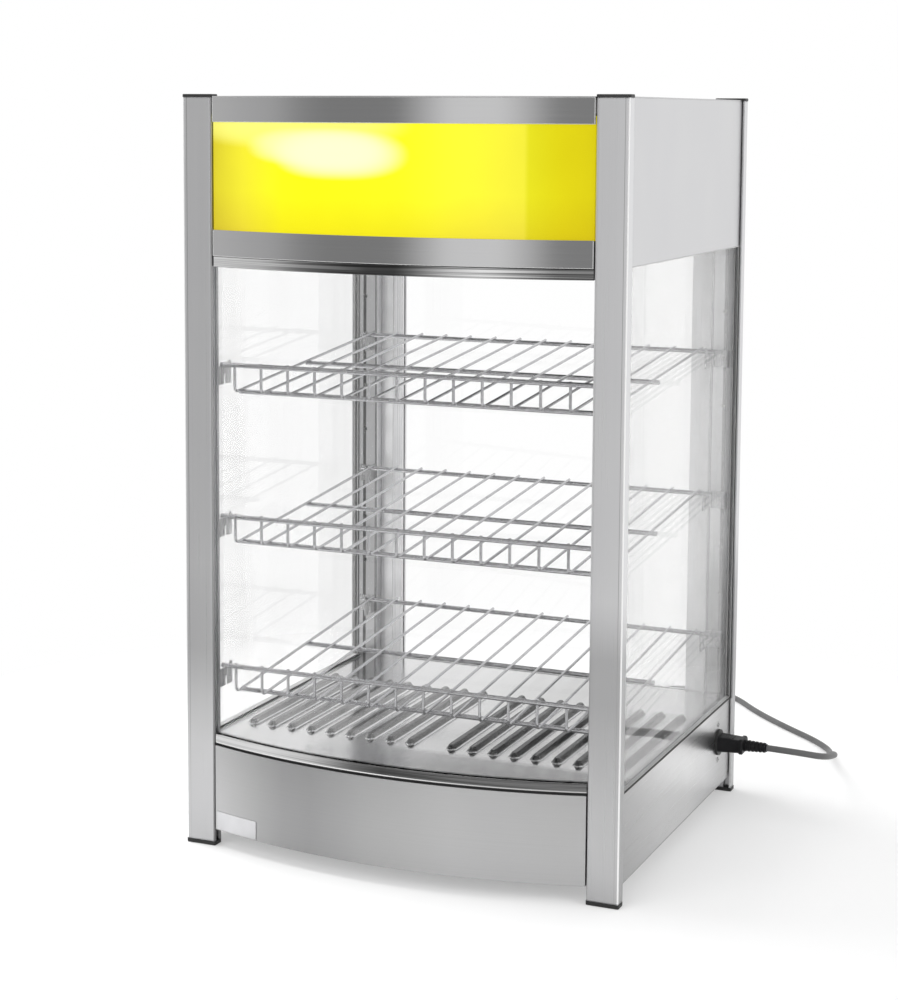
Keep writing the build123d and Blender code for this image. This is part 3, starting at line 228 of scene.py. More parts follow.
def brushedMetal(name, color, grain, roughness=(0.28, 0.42), spread=0.06, edgeRadius=0.0006, relief=0.06):
    # satin metal: fine grain one way, faint cloudy handling marks, rounded edges
    mat, tree, shader = newMaterial(name)
    fine = grainNoise(tree, grain, 4.0)
    cloud = grainNoise(tree, metalFacts["cloud"], 2.0)
    darker = tuple(c * (1 - spread) for c in color)
    lighter = tuple(min(1, c * (1 + spread)) for c in color)
    fineTint = tint(tree, fine, darker, lighter)
    cloudTint = tint(tree, cloud, metalFacts["cloudTone"], plain)
    tree.links.new(product(tree, fineTint, cloudTint), shader.inputs["Base Color"])
    shader.inputs["Metallic"].default_value = 1.0
    tree.links.new(remap(tree, fine, *roughness), shader.inputs["Roughness"])
    addBump(tree, shader, fine, relief, metalFacts["reliefDepth"], softEdge(tree, edgeRadius))
    return mat


def mouldedPlastic(name, color, roughness=(0.38, 0.55), grainScale=1400.0, bump=0.15, gloss=0.5):
    # fine even grain, and a little cloudiness in the colour
    mat, tree, shader = newMaterial(name)
    shader.inputs["Specular IOR Level"].default_value = gloss
    fine = grainNoise(tree, (grainScale,) * 3, 2.0)
    cloud = grainNoise(tree, plasticFacts["cloud"], 2.0)
    lighter = tuple(min(1, c * plasticFacts["lighter"] + plasticFacts["lift"]) for c in color)
    tree.links.new(tint(tree, cloud, color, lighter), shader.inputs["Base Color"])
    tree.links.new(remap(tree, fine, *roughness), shader.inputs["Roughness"])
    edge = softEdge(tree, plasticFacts["edgeRadius"])
    addBump(tree, shader, fine, bump, plasticFacts["reliefDepth"], edge)
    return mat


# grain scales, low along the brushing and high across it
horizontalGrain = (2.5, 2.5, 1500.0)
verticalGrain = (1500.0, 1500.0, 2.5)
depthGrain = (1500.0, 2.5, 1500.0)
acrossGrain = (2.5, 1500.0, 1500.0)

metals = {
    "postSatin": dict(color=(0.73, 0.73, 0.735), grain=verticalGrain, roughness=(0.27, 0.32), spread=0.012,
                      edgeRadius=0.0026, relief=0.03),
    # painted shade: the base's front and sides get darker copies of the side panels' satin steel
    "frontSatin": dict(color=(0.40, 0.40, 0.40), grain=horizontalGrain, roughness=(0.28, 0.36), spread=0.025),
    "sideSatin": dict(color=(0.72, 0.72, 0.725), grain=verticalGrain, roughness=(0.3, 0.4), spread=0.02),
    "baseSideSatin": dict(color=(0.55, 0.55, 0.55), grain=depthGrain, roughness=(0.26, 0.34), spread=0.025),
    "railSatin": dict(color=(0.50, 0.50, 0.50), grain=horizontalGrain, roughness=(0.1, 0.15), spread=0.02,
                      relief=0.03),
    "backPostSatin": dict(color=(0.73, 0.73, 0.735), grain=verticalGrain, roughness=(0.27, 0.32),
                          spread=0.012, edgeRadius=0.0026, relief=0.03),
    "doorSatin": dict(color=(0.76, 0.76, 0.765), grain=verticalGrain, roughness=(0.26, 0.32), spread=0.008,
                      relief=0.015),
    "roofSatin": dict(color=(0.62, 0.62, 0.62), grain=acrossGrain, roughness=(0.28, 0.38), spread=0.03),
    "hiddenSheet": dict(color=(0.50, 0.50, 0.50), grain=acrossGrain, roughness=(0.4, 0.6), spread=0.12),
    "bracketSteel": dict(color=(0.50, 0.50, 0.50), grain=verticalGrain, roughness=(0.2, 0.32)),
    "handleSatin": dict(color=(0.58, 0.58, 0.59), grain=verticalGrain, roughness=(0.2, 0.3)),
    "screwSteel": dict(color=(0.50, 0.50, 0.50), grain=(900.0,) * 3, roughness=(0.2, 0.35)),
    "rackChrome": dict(color=(0.53, 0.53, 0.54), grain=(300.0,) * 3, roughness=(0.07, 0.16)),
    "elementSheath": dict(color=(0.16, 0.15, 0.14), grain=(200.0,) * 3, roughness=(0.45, 0.7), spread=0.3),
    "earthBrass": dict(color=(0.62, 0.50, 0.26), grain=(600.0,) * 3, roughness=(0.25, 0.35)),
}
plastics = {
    "blackPlastic": dict(color=(0.018, 0.018, 0.018), gloss=0.32),
    "gasketGrey": dict(color=(0.66, 0.66, 0.665), roughness=(0.5, 0.65)),
    "sealRubber": dict(color=(0.012, 0.012, 0.012), roughness=(0.55, 0.75)),
    "plugRubber": dict(color=(0.008, 0.008, 0.009), roughness=(0.3, 0.45), gloss=0.14),
    "rockerRed": dict(color=(0.55, 0.02, 0.015), roughness=(0.15, 0.25), grainScale=200.0, bump=0.02),
    "rockerGreen": dict(color=(0.02, 0.3, 0.05), roughness=(0.15, 0.25), grainScale=200.0, bump=0.02),
    "ceramic": dict(color=(0.78, 0.76, 0.70), roughness=(0.2, 0.35), grainScale=300.0, bump=0.05),
    "holderWhite": dict(color=(0.72, 0.72, 0.70)),
    "badgeEnamel": dict(color=(0.42, 0.42, 0.43), roughness=(0.3, 0.35), grainScale=300.0, bump=0.02),
    "cordSheath": dict(color=(0.085, 0.085, 0.085), roughness=(0.42, 0.58), grainScale=700.0, bump=0.2),
    "opalAcrylic": dict(color=(0.82, 0.82, 0.80), roughness=(0.2, 0.3), grainScale=200.0, bump=0.02),
    "printBlack": dict(color=(0.02, 0.02, 0.02), roughness=(0.5, 0.6), grainScale=500.0, bump=0.02),
    "printWhite": dict(color=(0.8, 0.8, 0.8), roughness=(0.4, 0.5), grainScale=500.0, bump=0.02),
}
finishes = {name: brushedMetal(name, **recipe) for name, recipe in metals.items()}
finishes.update({name: mouldedPlastic(name, **recipe) for name, recipe in plastics.items()})
print("plain metals and plastics mixed")

# painted reflection: the room's broad light and dark fields painted into the colour of the bowed front and
# the sides of the base, the sides lighter towards the top
baseFacts = {
    "frontSpan": (-0.2035, 0.2035),
    "frontTones": [
        (0.0, 1.28), (0.08, 1.1), (0.15, 0.94), (0.22, 0.83), (0.30, 0.80), (0.37, 0.88), (0.44, 0.97),
        (0.56, 1.06), (0.68, 1.18), (1.0, 1.22),
    ],
    "sideSpan": (-0.1968, 0.1912),
    "sideTones": [
        (0.0, 0.86), (0.15, 1.0), (0.35, 1.24), (0.58, 1.36), (0.75, 1.24), (0.9, 0.86), (1.0, 0.8),
    ],
    "riseSpan": (0.018, 0.108), "riseTones": [(0.0, 0.98), (1.0, 1.10)],
}


def shadeBase(facts):
    tonedAlong(finishes["frontSatin"], "X", facts["frontSpan"], facts["frontTones"])
    tonedAlong(finishes["baseSideSatin"], "Y", facts["sideSpan"], facts["sideTones"])
    tonedAlong(finishes["baseSideSatin"], "Z", facts["riseSpan"], facts["riseTones"])


# lines are an axis, a place on it and half a width, in metres
postFacts = {
    "acrossSpan": (-0.2375, 0.2375), "acrossTones": [(0.0, 1.19), (0.08, 1.19), (0.1, 1.08), (1.0, 1.08)],
    "footSpan": (0.0, 0.3), "middleSpan": (-0.01, 0.01),
    "leftTones": [
        (0.0, 0.56), (0.06, 0.57), (0.21, 0.64), (0.37, 0.74), (0.53, 0.79), (0.7, 0.78), (0.84, 0.89),
        (1.0, 1.0),
    ],
    "rightTones": [
        (0.0, 0.63), (0.1, 0.66), (0.24, 0.64), (0.38, 0.63), (0.67, 0.61), (0.81, 0.66), (0.95, 0.93),
        (1.0, 1.0),
    ],
    "innerLine": ("X", -0.2045, 0.0018), "innerShade": (0.45, 0.45, 0.45),
    "foldLine": ("aside", 0.2330, 0.00025), "foldTone": (0.42, 0.42, 0.42),
    "cornerLine": ("aside", 0.23665, 0.0007), "cornerTone": (1.0, 1.0, 1.0),
    "backForward": (0.95, 0.95, 0.95),
    "backInnerLine": ("aside", 0.2045, 0.0003), "backInnerHighlight": (1.25, 1.25, 1.25),
    "backLines": [("aside", 0.2210, 0.0019), ("aside", 0.2068, 0.0005), ("aside", 0.2052, 0.0004)],
    "backLineTone": (0.12, 0.12, 0.12),
    "stepSpan": (0.2339, 0.2341), "stepLevels": (0.109, 0.107), "stepTone": (0.78, 0.78, 0.78),
}


def shadeFeet(mat, facts):
    # painted reflection: the left and the right posts darker near their feet, each in its own way, where they
    # mirror the studio floor
    def change(tree, base):
        axes = placeAxes(tree)
        share = remap(tree, axes["Z"], 0.0, 1.0, *facts["footSpan"])
        left = toneRamp(tree, share, facts["leftTones"])
        right = toneRamp(tree, share, facts["rightTones"])
        rightward = remap(tree, axes["X"], 0.0, 1.0, *facts["middleSpan"])
        return product(tree, base, blendColor(tree, rightward, left, right))
    return recolor(mat, change)


def shadeFrontPosts(mat, facts):
    # painted light: the left post lighter than the right one
    tonedAlong(mat, "X", facts["acrossSpan"], facts["acrossTones"])
    shadeFeet(mat, facts)
    # painted shade along the left post's inner edge
    shadeWhere(mat, lambda tree: linesMask(tree, [facts["innerLine"]]), facts["innerShade"])
    # a painted shade line at the fold of each post's front face, and a painted highlight down its rounded
    # outer corner
    for part in ("fold", "corner"):
        colorWhere(mat, lambda tree: linesMask(tree, [facts[part + "Line"]]), facts[part + "Tone"])


def shadeBackPosts(mat, facts):
    def grooves(tree):
        # painted shade: dark lines for a groove and two folds down the face that looks into the case
        return mathNode(tree, "MULTIPLY", linesMask(tree, facts["backLines"]), lookingForward(tree))

    def baseStep(tree):
        # the narrow step between the base's side and the post; painted light: pale and dull there instead of
        # mirroring a dark band
        outer = remap(tree, placeAxes(tree)["aside"], 0.0, 1.0, *facts["stepSpan"])
        outerLow = mathNode(tree, "MULTIPLY", outer, heightMask(tree, *facts["stepLevels"]))
        return mathNode(tree, "MULTIPLY", outerLow, lookingForward(tree))

    shadeFeet(mat, facts)
    # painted shade on the faces that look forward
    shadeWhere(mat, lookingForward, facts["backForward"])
    # a painted highlight down the inner edge
    shadeWhere(mat, lambda tree: linesMask(tree, [facts["backInnerLine"]]), facts["backInnerHighlight"])
    colorWhere(mat, grooves, facts["backLineTone"])
    colorWhere(mat, baseStep, facts["stepTone"])
    metalWhere(mat, baseStep, 1.0, 0.0)


# painted light: the door's inner face is made lighter and less metallic, as if lit more than it mirrors
doorFacts = {"forward": (1.08, 1.08, 1.08), "forwardMetal": 0.3}


def shadeDoor(mat, facts):
    shadeWhere(mat, lookingForward, facts["forward"])
    metalWhere(mat, lookingForward, 1.0, facts["forwardMetal"])


# painted highlight: flat grey, dull lines along the folded edges of the sign's two rails
railFacts = {
    "edges": [("Z", 0.6172, 0.0004), ("Z", 0.7522, 0.0003), ("aside", 0.2031, 0.0004)],
    "edgeTone": (0.42, 0.42, 0.42),
}


def edgeRails(mat, facts):
    edges = linesMask(mat.node_tree, facts["edges"])
    colorWhere(mat, lambda tree: edges, facts["edgeTone"])
    metalWhere(mat, lambda tree: edges, 1.0, 0.0)


shadeBase(baseFacts)
shadeFrontPosts(finishes["postSatin"], postFacts)
shadeBackPosts(finishes["backPostSatin"], postFacts)
shadeDoor(finishes["doorSatin"], doorFacts)
edgeRails(finishes["railSatin"], railFacts)
print("base, posts, door and rails shaded")

ribFacts = {
    "plateTop": 0.1072, "ribTop": 0.1084, "span": (-0.2295, 0.2295),
    "plate": (0.86, 0.86, 0.86), "roughness": (0.12, 0.2), "spread": 0.03,
    "plateTones": [(0.0, 1.04), (0.38, 1.0), (0.5, 0.90), (0.62, 0.8), (1.0, 0.76)],
    "apronY": (-0.142, -0.128),
    "apronTones": [(0.0, 1.0), (0.36, 1.0), (0.44, 0.70), (0.7, 0.56), (1.0, 0.5)],
    "ribTones": [(0.0, 0.36), (0.30, 0.30), (0.45, 0.16), (0.52, 0.05), (1.0, 0.03)],
    "flankTones": [(0.0, 0.85), (0.46, 0.8), (0.54, 0.6), (1.0, 0.5)],
}


def ribbedFloor(name, facts):
    # pressed floor sheet with painted light and shade: bright between the ribs and on their left flanks, dark
    # on top of the ribs, darker towards the right and the front
    mat = brushedMetal(name, facts["plate"], depthGrain, facts["roughness"], facts["spread"])
    tonedAlong(mat, "X", facts["span"], facts["plateTones"])
    tree = mat.node_tree
    axes = placeAxes(tree)
    share = remap(tree, axes["X"], 0.0, 1.0, *facts["span"])
    inFront = remap(tree, axes["Y"], 1.0, 0.0, *facts["apronY"])
    apron = blendColor(tree, inFront, plain, toneRamp(tree, share, facts["apronTones"]))
    recolor(mat, lambda tree, plate: product(tree, plate, apron))
    leftward = facingMask(tree, "X")
    rib = blendColor(tree, leftward, toneRamp(tree, share, facts["ribTones"]),
                     toneRamp(tree, share, facts["flankTones"]))
    return colorWhere(mat, lambda tree: heightMask(tree, facts["plateTop"], facts["ribTop"]), rib)


sealFacts = {
    "rubber": (0.012, 0.012, 0.012), "roughness": (0.55, 0.75),
    "edgeLine": ("aside", 0.23185, 0.00275), "edgeTone": (0.45, 0.45, 0.45),
    "stripLevels": (0.6171, 0.6176), "stripTone": (0.5, 0.5, 0.5),
}


def sideSeal(name, facts):
    # black lips on both faces of the glass; painted light: a pale band between them where the glass edge
    # shows, and a pale strip above it
    mat = mouldedPlastic(name, facts["rubber"], facts["roughness"])
    colorWhere(mat, lambda tree: linesMask(tree, [facts["edgeLine"]]), facts["edgeTone"])
    return colorWhere(mat, lambda tree: heightMask(tree, *facts["stripLevels"]), facts["stripTone"])


glassRailFacts = {
    "lower": {
        "lightTones": [
            (0.0, 0.68), (0.16, 0.66), (0.3, 0.5), (0.42, 0.15), (0.5, 0.07), (0.7, 0.15), (1.0, 0.18),
        ],
        "darkTones": [(0.0, 0.54), (0.15, 0.5), (0.28, 0.28), (0.4, 0.06), (0.5, 0.035), (1.0, 0.05)],
        "lines": [
            (("Z", 0.1112, 0.0005), [(0.0, 0.75), (0.5, 0.8), (0.75, 0.55), (1.0, 0.55)]),
            (("Z", 0.1193, 0.0004), [(0.0, 0.62), (0.25, 0.55), (0.42, 0.14), (1.0, 0.08)]),
        ],
    },
    "upper": {
        "lightTones": [
            (0.0, 0.75), (0.2, 0.72), (0.38, 0.4), (0.46, 0.16), (0.53, 0.14), (0.62, 0.4), (0.74, 0.68),
            (1.0, 0.55),
        ],
        "darkTones": [
            (0.0, 0.62), (0.15, 0.58), (0.27, 0.28), (0.4, 0.06), (0.54, 0.04), (0.7, 0.14), (1.0, 0.2),
        ],
        "lines": [
            (("Z", 0.6166, 0.0005), [(0.0, 0.30), (0.4, 0.06), (1.0, 0.03)]),
            (("Z", 0.6062, 0.0003), [(0.0, 0.5), (0.4, 0.3), (1.0, 0.4)]),
        ],
    },
    "span": (-0.2045, 0.2045), "streak": (3.0, 3.0, 520.0), "streakEdges": (0.42, 0.58),
    "roughness": (0.06, 0.12),
}


def polishedRail(name, facts, shared):
    # mirror-polished strip with painted reflections: long light and dark streaks, darker towards the right,
    # and painted light and dark lines at its edges
    mat, tree, shader = newMaterial(name)
    share = remap(tree, placeAxes(tree)["X"], 0.0, 1.0, *shared["span"])
    streak = remap(tree, grainNoise(tree, shared["streak"], 2.0), 0.0, 1.0, *shared["streakEdges"])
    dark = toneRamp(tree, share, facts["darkTones"])
    light = toneRamp(tree, share, facts["lightTones"])
    tree.links.new(blendColor(tree, streak, dark, light), shader.inputs["Base Color"])
    tree.links.new(remap(tree, streak, *shared["roughness"], 0.0, 1.0), shader.inputs["Roughness"])
    shader.inputs["Metallic"].default_value = 1.0
    for line, stops in facts["lines"]:
        colorWhere(mat, lambda tree: linesMask(tree, [line]), toneRamp(tree, share, stops))
    return mat


glassFacts = {
    "tone": (0.985, 0.995, 0.99), "ior": 1.45, "smudge": (9.0, 9.0, 6.0), "smudgeRoughness": (0.0, 0.02),
    "edgeBlend": 0.3, "faceVeil": 0.03, "veilSpan": (0.0, 0.9),
    # painted light: the right side pane gets a copy of the glass that mirrors more at a glancing angle, so it
    # reads paler
    "edgeVeil": {"clearGlass": 0.16, "paleSideGlass": 0.5},
}


def clearGlass(name, facts):
    # see-through pane: what little it mirrors grows at a glancing angle
    mat, tree, shader = newMaterial(name)
    shader.inputs["Base Color"].default_value = (*facts["tone"], 1)
    shader.inputs["Transmission Weight"].default_value = 1.0
    shader.inputs["IOR"].default_value = facts["ior"]
    smudge = grainNoise(tree, facts["smudge"], 3.0)
    tree.links.new(remap(tree, smudge, *facts["smudgeRoughness"]), shader.inputs["Roughness"])
    weight = addNode(tree, "ShaderNodeLayerWeight", {"Blend": facts["edgeBlend"]})
    veil = remap(tree, weight.outputs["Fresnel"], facts["faceVeil"], facts["edgeVeil"][name],
                 *facts["veilSpan"])
    tree.links.new(veil, shader.inputs["Alpha"])
    return mat


signFacts = {
    "span": (-0.2045, 0.2045), "footSpan": (0.6435, 0.685), "footTone": (0.88, 0.78, 1.0),
    "acrossTones": [
        (0.0, (0.50, 0.42, 0.01)), (0.1, (0.72, 0.66, 0.02)), (0.22, (0.82, 0.83, 0.0)),
        (0.62, (0.82, 0.82, 0.01)), (0.74, (0.80, 0.76, 0.02)), (0.84, (0.72, 0.68, 0.03)),
        (0.85, (0.60, 0.58, 0.0)), (0.93, (0.56, 0.49, 0.0)), (1.0, (0.52, 0.44, 0.0)),
    ],
    "glows": [
        {"x": -0.105, "z": 0.751, "wide": 0.128, "high": 0.024, "core": 0.1, "rim": 1.3,
         "tone": (0.80, 0.80, 0.20)},
        {"x": -0.078, "z": 0.7285, "wide": 0.072, "high": 0.017, "core": 0.0, "rim": 1.5,
         "tone": (0.92, 0.92, 0.50)},
        {"x": -0.050, "z": 0.7215, "wide": 0.070, "high": 0.0225, "core": 0.0, "rim": 1.4,
         "tone": (0.95, 0.95, 0.66)},
    ],
    "acrossPower": 2.6, "upPower": 2.2, "strength": 1.0, "gloss": 0.3,
    "cloud": (12.0, 12.0, 12.0), "dark": (0.15, 0.13, 0.0), "light": (0.18, 0.16, 0.0),
    "roughness": (0.10, 0.16), "relief": 0.05, "reliefDepth": 0.001,
}


def fromGlow(tree, place, middle, reach, power):
    # how far a place lies from the middle of a glow, 1 at its reach
    offset = mathNode(tree, "DIVIDE", mathNode(tree, "SUBTRACT", place, middle), reach)
    return mathNode(tree, "POWER", mathNode(tree, "ABSOLUTE", offset), power)


def signAcrylic(name, facts):
    # yellow acrylic lit from behind, its glow painted on: a bright core at the lamp, gold towards the ends
    # and the foot
    mat, tree, shader = newMaterial(name)
    axes = placeAxes(tree)
    across = remap(tree, axes["X"], 0.0, 1.0, *facts["span"])
    upwards = remap(tree, axes["Z"], 0.0, 1.0, *facts["footSpan"])
    foot = blendColor(tree, upwards, facts["footTone"], plain)
    lit = product(tree, toneRamp(tree, across, facts["acrossTones"]), foot)
    for glow in facts["glows"]:
        aside = fromGlow(tree, axes["X"], glow["x"], glow["wide"], facts["acrossPower"])
        above = fromGlow(tree, axes["Z"], glow["z"], glow["high"], facts["upPower"])
        core = addNode(tree, "ShaderNodeMapRange", {
            "From Min": glow["core"], "From Max": glow["rim"], "To Min": 1.0, "To Max": 0.0},
            interpolation_type="SMOOTHSTEP")
        tree.links.new(mathNode(tree, "ADD", aside, above), core.inputs["Value"])
        lit = blendColor(tree, core.outputs["Result"], lit, glow["tone"])
    tree.links.new(lit, shader.inputs["Emission Color"])
    shader.inputs["Emission Strength"].default_value = facts["strength"]
    shader.inputs["Specular IOR Level"].default_value = facts["gloss"]
    cloud = grainNoise(tree, facts["cloud"], 2.0)
    tree.links.new(tint(tree, cloud, facts["dark"], facts["light"]), shader.inputs["Base Color"])
    tree.links.new(remap(tree, cloud, *facts["roughness"]), shader.inputs["Roughness"])
    addBump(tree, shader, cloud, facts["relief"], facts["reliefDepth"])
    return mat


plugFacts = {
    "black": (0.012, 0.012, 0.013), "roughness": (0.3, 0.45), "gloss": 0.14,
    "bareMetal": (0.62, 0.60, 0.56), "bareLevels": (0.0325, 0.0327),
}


def plugBody(name, facts):
    # black body and pin sleeves, bare pin tips above them
    mat = mouldedPlastic(name, facts["black"], facts["roughness"], gloss=facts["gloss"])
    bare = heightMask(mat.node_tree, *facts["bareLevels"])
    metalWhere(mat, lambda tree: bare, 0.0, 1.0)
    return colorWhere(mat, lambda tree: bare, facts["bareMetal"])


lampFacts = {
    "glass": (0.86, 0.85, 0.80), "roughness": (0.15, 0.25), "grain": 300.0, "bump": 0.02,
    "glassLine": ("X", -0.035, 0.135), "cap": (0.55, 0.55, 0.56),
}


def lampGlass(name, facts):
    # frosted tube with a metal cap at each end
    mat = mouldedPlastic(name, facts["glass"], facts["roughness"], facts["grain"], facts["bump"])
    tree = mat.node_tree
    caps = mathNode(tree, "SUBTRACT", 1.0, linesMask(tree, [facts["glassLine"]]))
    metalWhere(mat, lambda tree: caps, 0.0, 1.0)
    return colorWhere(mat, lambda tree: caps, facts["cap"])


finishes["floorSheet"] = ribbedFloor("floorSheet", ribFacts)
finishes["sideSeal"] = sideSeal("sideSeal", sealFacts)
finishes["lowerGlassRail"] = polishedRail("lowerGlassRail", glassRailFacts["lower"], glassRailFacts)
finishes["upperGlassRail"] = polishedRail("upperGlassRail", glassRailFacts["upper"], glassRailFacts)
finishes["clearGlass"] = clearGlass("clearGlass", glassFacts)
# painted light: a paler copy of the clear glass for the right side pane
finishes["paleSideGlass"] = clearGlass("paleSideGlass", glassFacts)
finishes["signAcrylic"] = signAcrylic("signAcrylic", signFacts)
finishes["plugBody"] = plugBody("plugBody", plugFacts)
finishes["lampGlass"] = lampGlass("lampGlass", lampFacts)
print("floor, seals, glass, sign, plug and lamp finished")

# the CAD nodes that each finish dresses
dressing = {
    "postSatin": ["post_front_left", "post_front_right"],
    "backPostSatin": ["post_back_left", "post_back_right"],
    "frontSatin": ["base_front_panel"],
    "sideSatin": ["header_side_left", "header_side_right", "header_rear_panel"],
    "baseSideSatin": ["base_side_left", "base_side_right", "base_rear_panel"],
    "railSatin": ["sign_lower_rail", "sign_upper_rail"],
    "lowerGlassRail": ["lower_glass_rail"],
    "upperGlassRail": ["upper_glass_rail"],
    "doorSatin": ["door_frame"],
    "roofSatin": ["roof_plate"],
    "floorSheet": ["floor_plate", "ceiling_plate"],
    "hiddenSheet": ["base_tray", "element_supports", "heat_shield", "lamp_bracket"],
    "bracketSteel": ["rack_brackets", "hinge_brackets"],
    "handleSatin": ["door_handle"],
    "screwSteel": ["case_screws"],
    "rackChrome": ["rack_top", "rack_middle", "rack_bottom"],
    "elementSheath": ["heating_element"],
    "blackPlastic": ["top_caps", "feet", "thermostat", "thermostat_knob", "power_switch",
                     "light_switch", "power_inlet", "door_catch"],
    "sealRubber": ["lower_glass_seal"],
    "sideSeal": ["side_glass_seals"],
    "gasketGrey": ["door_gasket"],
    "plugRubber": ["cord_connector", "cord_strain_relief", "cord_tie"],
    "plugBody": ["mains_plug"],
    "rockerRed": ["power_rocker"],
    "rockerGreen": ["light_rocker"],
    "ceramic": ["terminal_block"],
    "holderWhite": ["lamp_holders"],
    "badgeEnamel": ["badge_plate"],
    "clearGlass": ["front_glass", "side_glass_left", "door_glass"],
    "paleSideGlass": ["side_glass_right"],
    "lampGlass": ["lamp_tube"],
    "signAcrylic": ["sign_panel"],
    "opalAcrylic": ["ceiling_window"],
}
for finish, names in dressing.items():
    for name in names:
        nodes[name].data.materials.clear()
        nodes[name].data.materials.append(finishes[finish])
print("finishes given to", sum(len(names) for names in dressing.values()), "nodes")


# small helpers for building the fittings
def addBlock(mesh, low, high, soften=0.0):
    # a block between two corners, with rounded edges where asked
    made = bmesh.ops.create_cube(mesh, size=1.0)["verts"]
    for vert in made:
        vert.co = [(a + b) / 2 + c * (b - a) for a, b, c in zip(low, high, vert.co)]
    if soften:
        edges = list({edge for vert in made for edge in vert.link_edges})
        bmesh.ops.bevel(mesh, geom=edges, offset=soften, segments=2, affect="EDGES", profile=0.5)


def joinLoops(mesh, first, second):
    # a band of faces between two closed loops with as many points
    for step in range(len(first)):
        after = (step + 1) % len(first)
        mesh.faces.new((first[step], first[after], second[after], second[step]))


def addPrism(mesh, low, high):
    # a closed form between two matching loops
    mesh.faces.new(low)
    mesh.faces.new(high)
    joinLoops(mesh, low, high)


def ringPlaces(radius, segments):
    # points round a circle
    angles = [2 * math.pi * step / segments for step in range(segments)]
    return [(radius * math.cos(angle), radius * math.sin(angle)) for angle in angles]


def turnTowards(facing):
    # turns what was made upwards to face another way
    return Vector((0, 0, 1)).rotation_difference(Vector(facing)).to_matrix()


def addTurned(mesh, profile, centre, axis, segments=32):
    # a turned form: (distance, radius) steps along an axis from a centre, closed at both ends
    turn = turnTowards(axis)
    rings = []
    for along, radius in profile:
        places = [Vector(centre) + turn @ Vector((u, v, along)) for u, v in ringPlaces(radius, segments)]
        rings.append([mesh.verts.new(place) for place in places])
    for lower, upper in zip(rings, rings[1:]):
        joinLoops(mesh, lower, upper)
    mesh.faces.new(list(reversed(rings[0])))
    mesh.faces.new(rings[-1])


def makePiece(name, mesh, finish, body, replaced=()):
    data = bpy.data.meshes.new(name)
    bmesh.ops.recalc_face_normals(mesh, faces=mesh.faces)
    mesh.to_mesh(data)
    mesh.free()
    piece = bpy.data.objects.new(name, data)
    bpy.context.scene.collection.objects.link(piece)
    data.materials.append(finishes[finish])
    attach(piece, body)
    if replaced:
        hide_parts(*replaced)


screwFacts = {
    "head": 0.003, "rise": 0.0012, "fall": 0.75, "roundness": 2.5, "rings": 12, "segments": 48,
    "crossWide": 0.00042, "crossLong": 0.0016, "crossDeep": 0.0007, "crossTaper": 0.4, "twist": 0.7,
    "lip": 0.0001, "shank": 0.0016, "long": 0.005,
    "postX": 0.2197, "frontY": -0.19525, "backY": 0.18975, "hookLevels": [0.1745, 0.3335, 0.4925],
    "hingeY": 0.20725, "hingeLevels": [0.0424, 0.0584, 0.6546, 0.6706],
    "inletX": 0.2345, "inletY": 0.14525, "inletLevels": [0.0497, 0.0897],
}


def screwSeats(facts):
    # where each screw head rests, and the way it faces
    seats = []
    for level in facts["hookLevels"]:
        for side in (-1, 1):
            seats.append(((side * facts["postX"], facts["frontY"], level), (0, 1, 0)))
            seats.append(((side * facts["postX"], facts["backY"], level), (0, -1, 0)))
    seats += [((-facts["postX"], facts["hingeY"], level), (0, 1, 0)) for level in facts["hingeLevels"]]
    seats += [((facts["inletX"], facts["inletY"], level), (1, 0, 0)) for level in facts["inletLevels"]]
    return seats


def domeHeight(facts, u, v):
    # the domed top of a screw head, sunk where its cross is pressed in
    share = math.hypot(u, v) / facts["head"]
    dome = facts["rise"] * (1 - facts["fall"] * share ** facts["roundness"])
    narrow, far = sorted((abs(u), abs(v)))
    if narrow < facts["crossWide"] and far < facts["crossLong"]:
        dome -= facts["crossDeep"] * (1 - far / facts["crossLong"]) ** facts["crossTaper"]
    return dome


def makeScrews(facts):
    # domed heads with a pressed cross, on plain shanks
    mesh = bmesh.new()
    head, shank, lip = facts["head"], facts["shank"], facts["lip"]
    for number, (seat, facing) in enumerate(screwSeats(facts)):
        # each screw stopped at its own angle
        turn = turnTowards(facing) @ Matrix.Rotation(facts["twist"] * number, 3, "Z")

        def addLoop(radius, along=None):
            loop = []
            for u, v in ringPlaces(radius, facts["segments"]):
                height = domeHeight(facts, u, v) if along is None else along
                loop.append(mesh.verts.new(Vector(seat) + turn @ Vector((u, v, height))))
            return loop

        domed = [addLoop(head * ring / facts["rings"]) for ring in range(facts["rings"], 0, -1)]
        profile = [(head, 0.0), (head, -lip), (shank, -lip), (shank, -facts["long"])]
        under = [addLoop(radius, along) for radius, along in profile]
        for loops in (domed, domed[:1] + under):
            for first, second in zip(loops, loops[1:]):
                joinLoops(mesh, first, second)
        mesh.faces.new(domed[-1])
        mesh.faces.new(under[-1])
    makePiece("panHeadScrews", mesh, "screwSteel", "root", ["case_screws"])


trimFacts = {
    "endX": (0.20355, 0.20445), "endY": (-0.20925, -0.2071), "headZ": (0.6068, 0.6430), "endSoften": 0.0002,
    "strikeX": (0.121, 0.159), "strikeY": (0.2054, 0.20575), "strikeZ": (0.6364, 0.6426),
    "strikeSoften": 0.0001,
    "pinX": -0.210, "pinY": 0.21175, "pinLevels": [(0.0644, -1), (0.6486, 1)],
    "pinDome": [(0.0, 0.0036), (0.0005, 0.0036), (0.0010, 0.0031), (0.0014, 0.0021), (0.0015, 0.0008)],
}


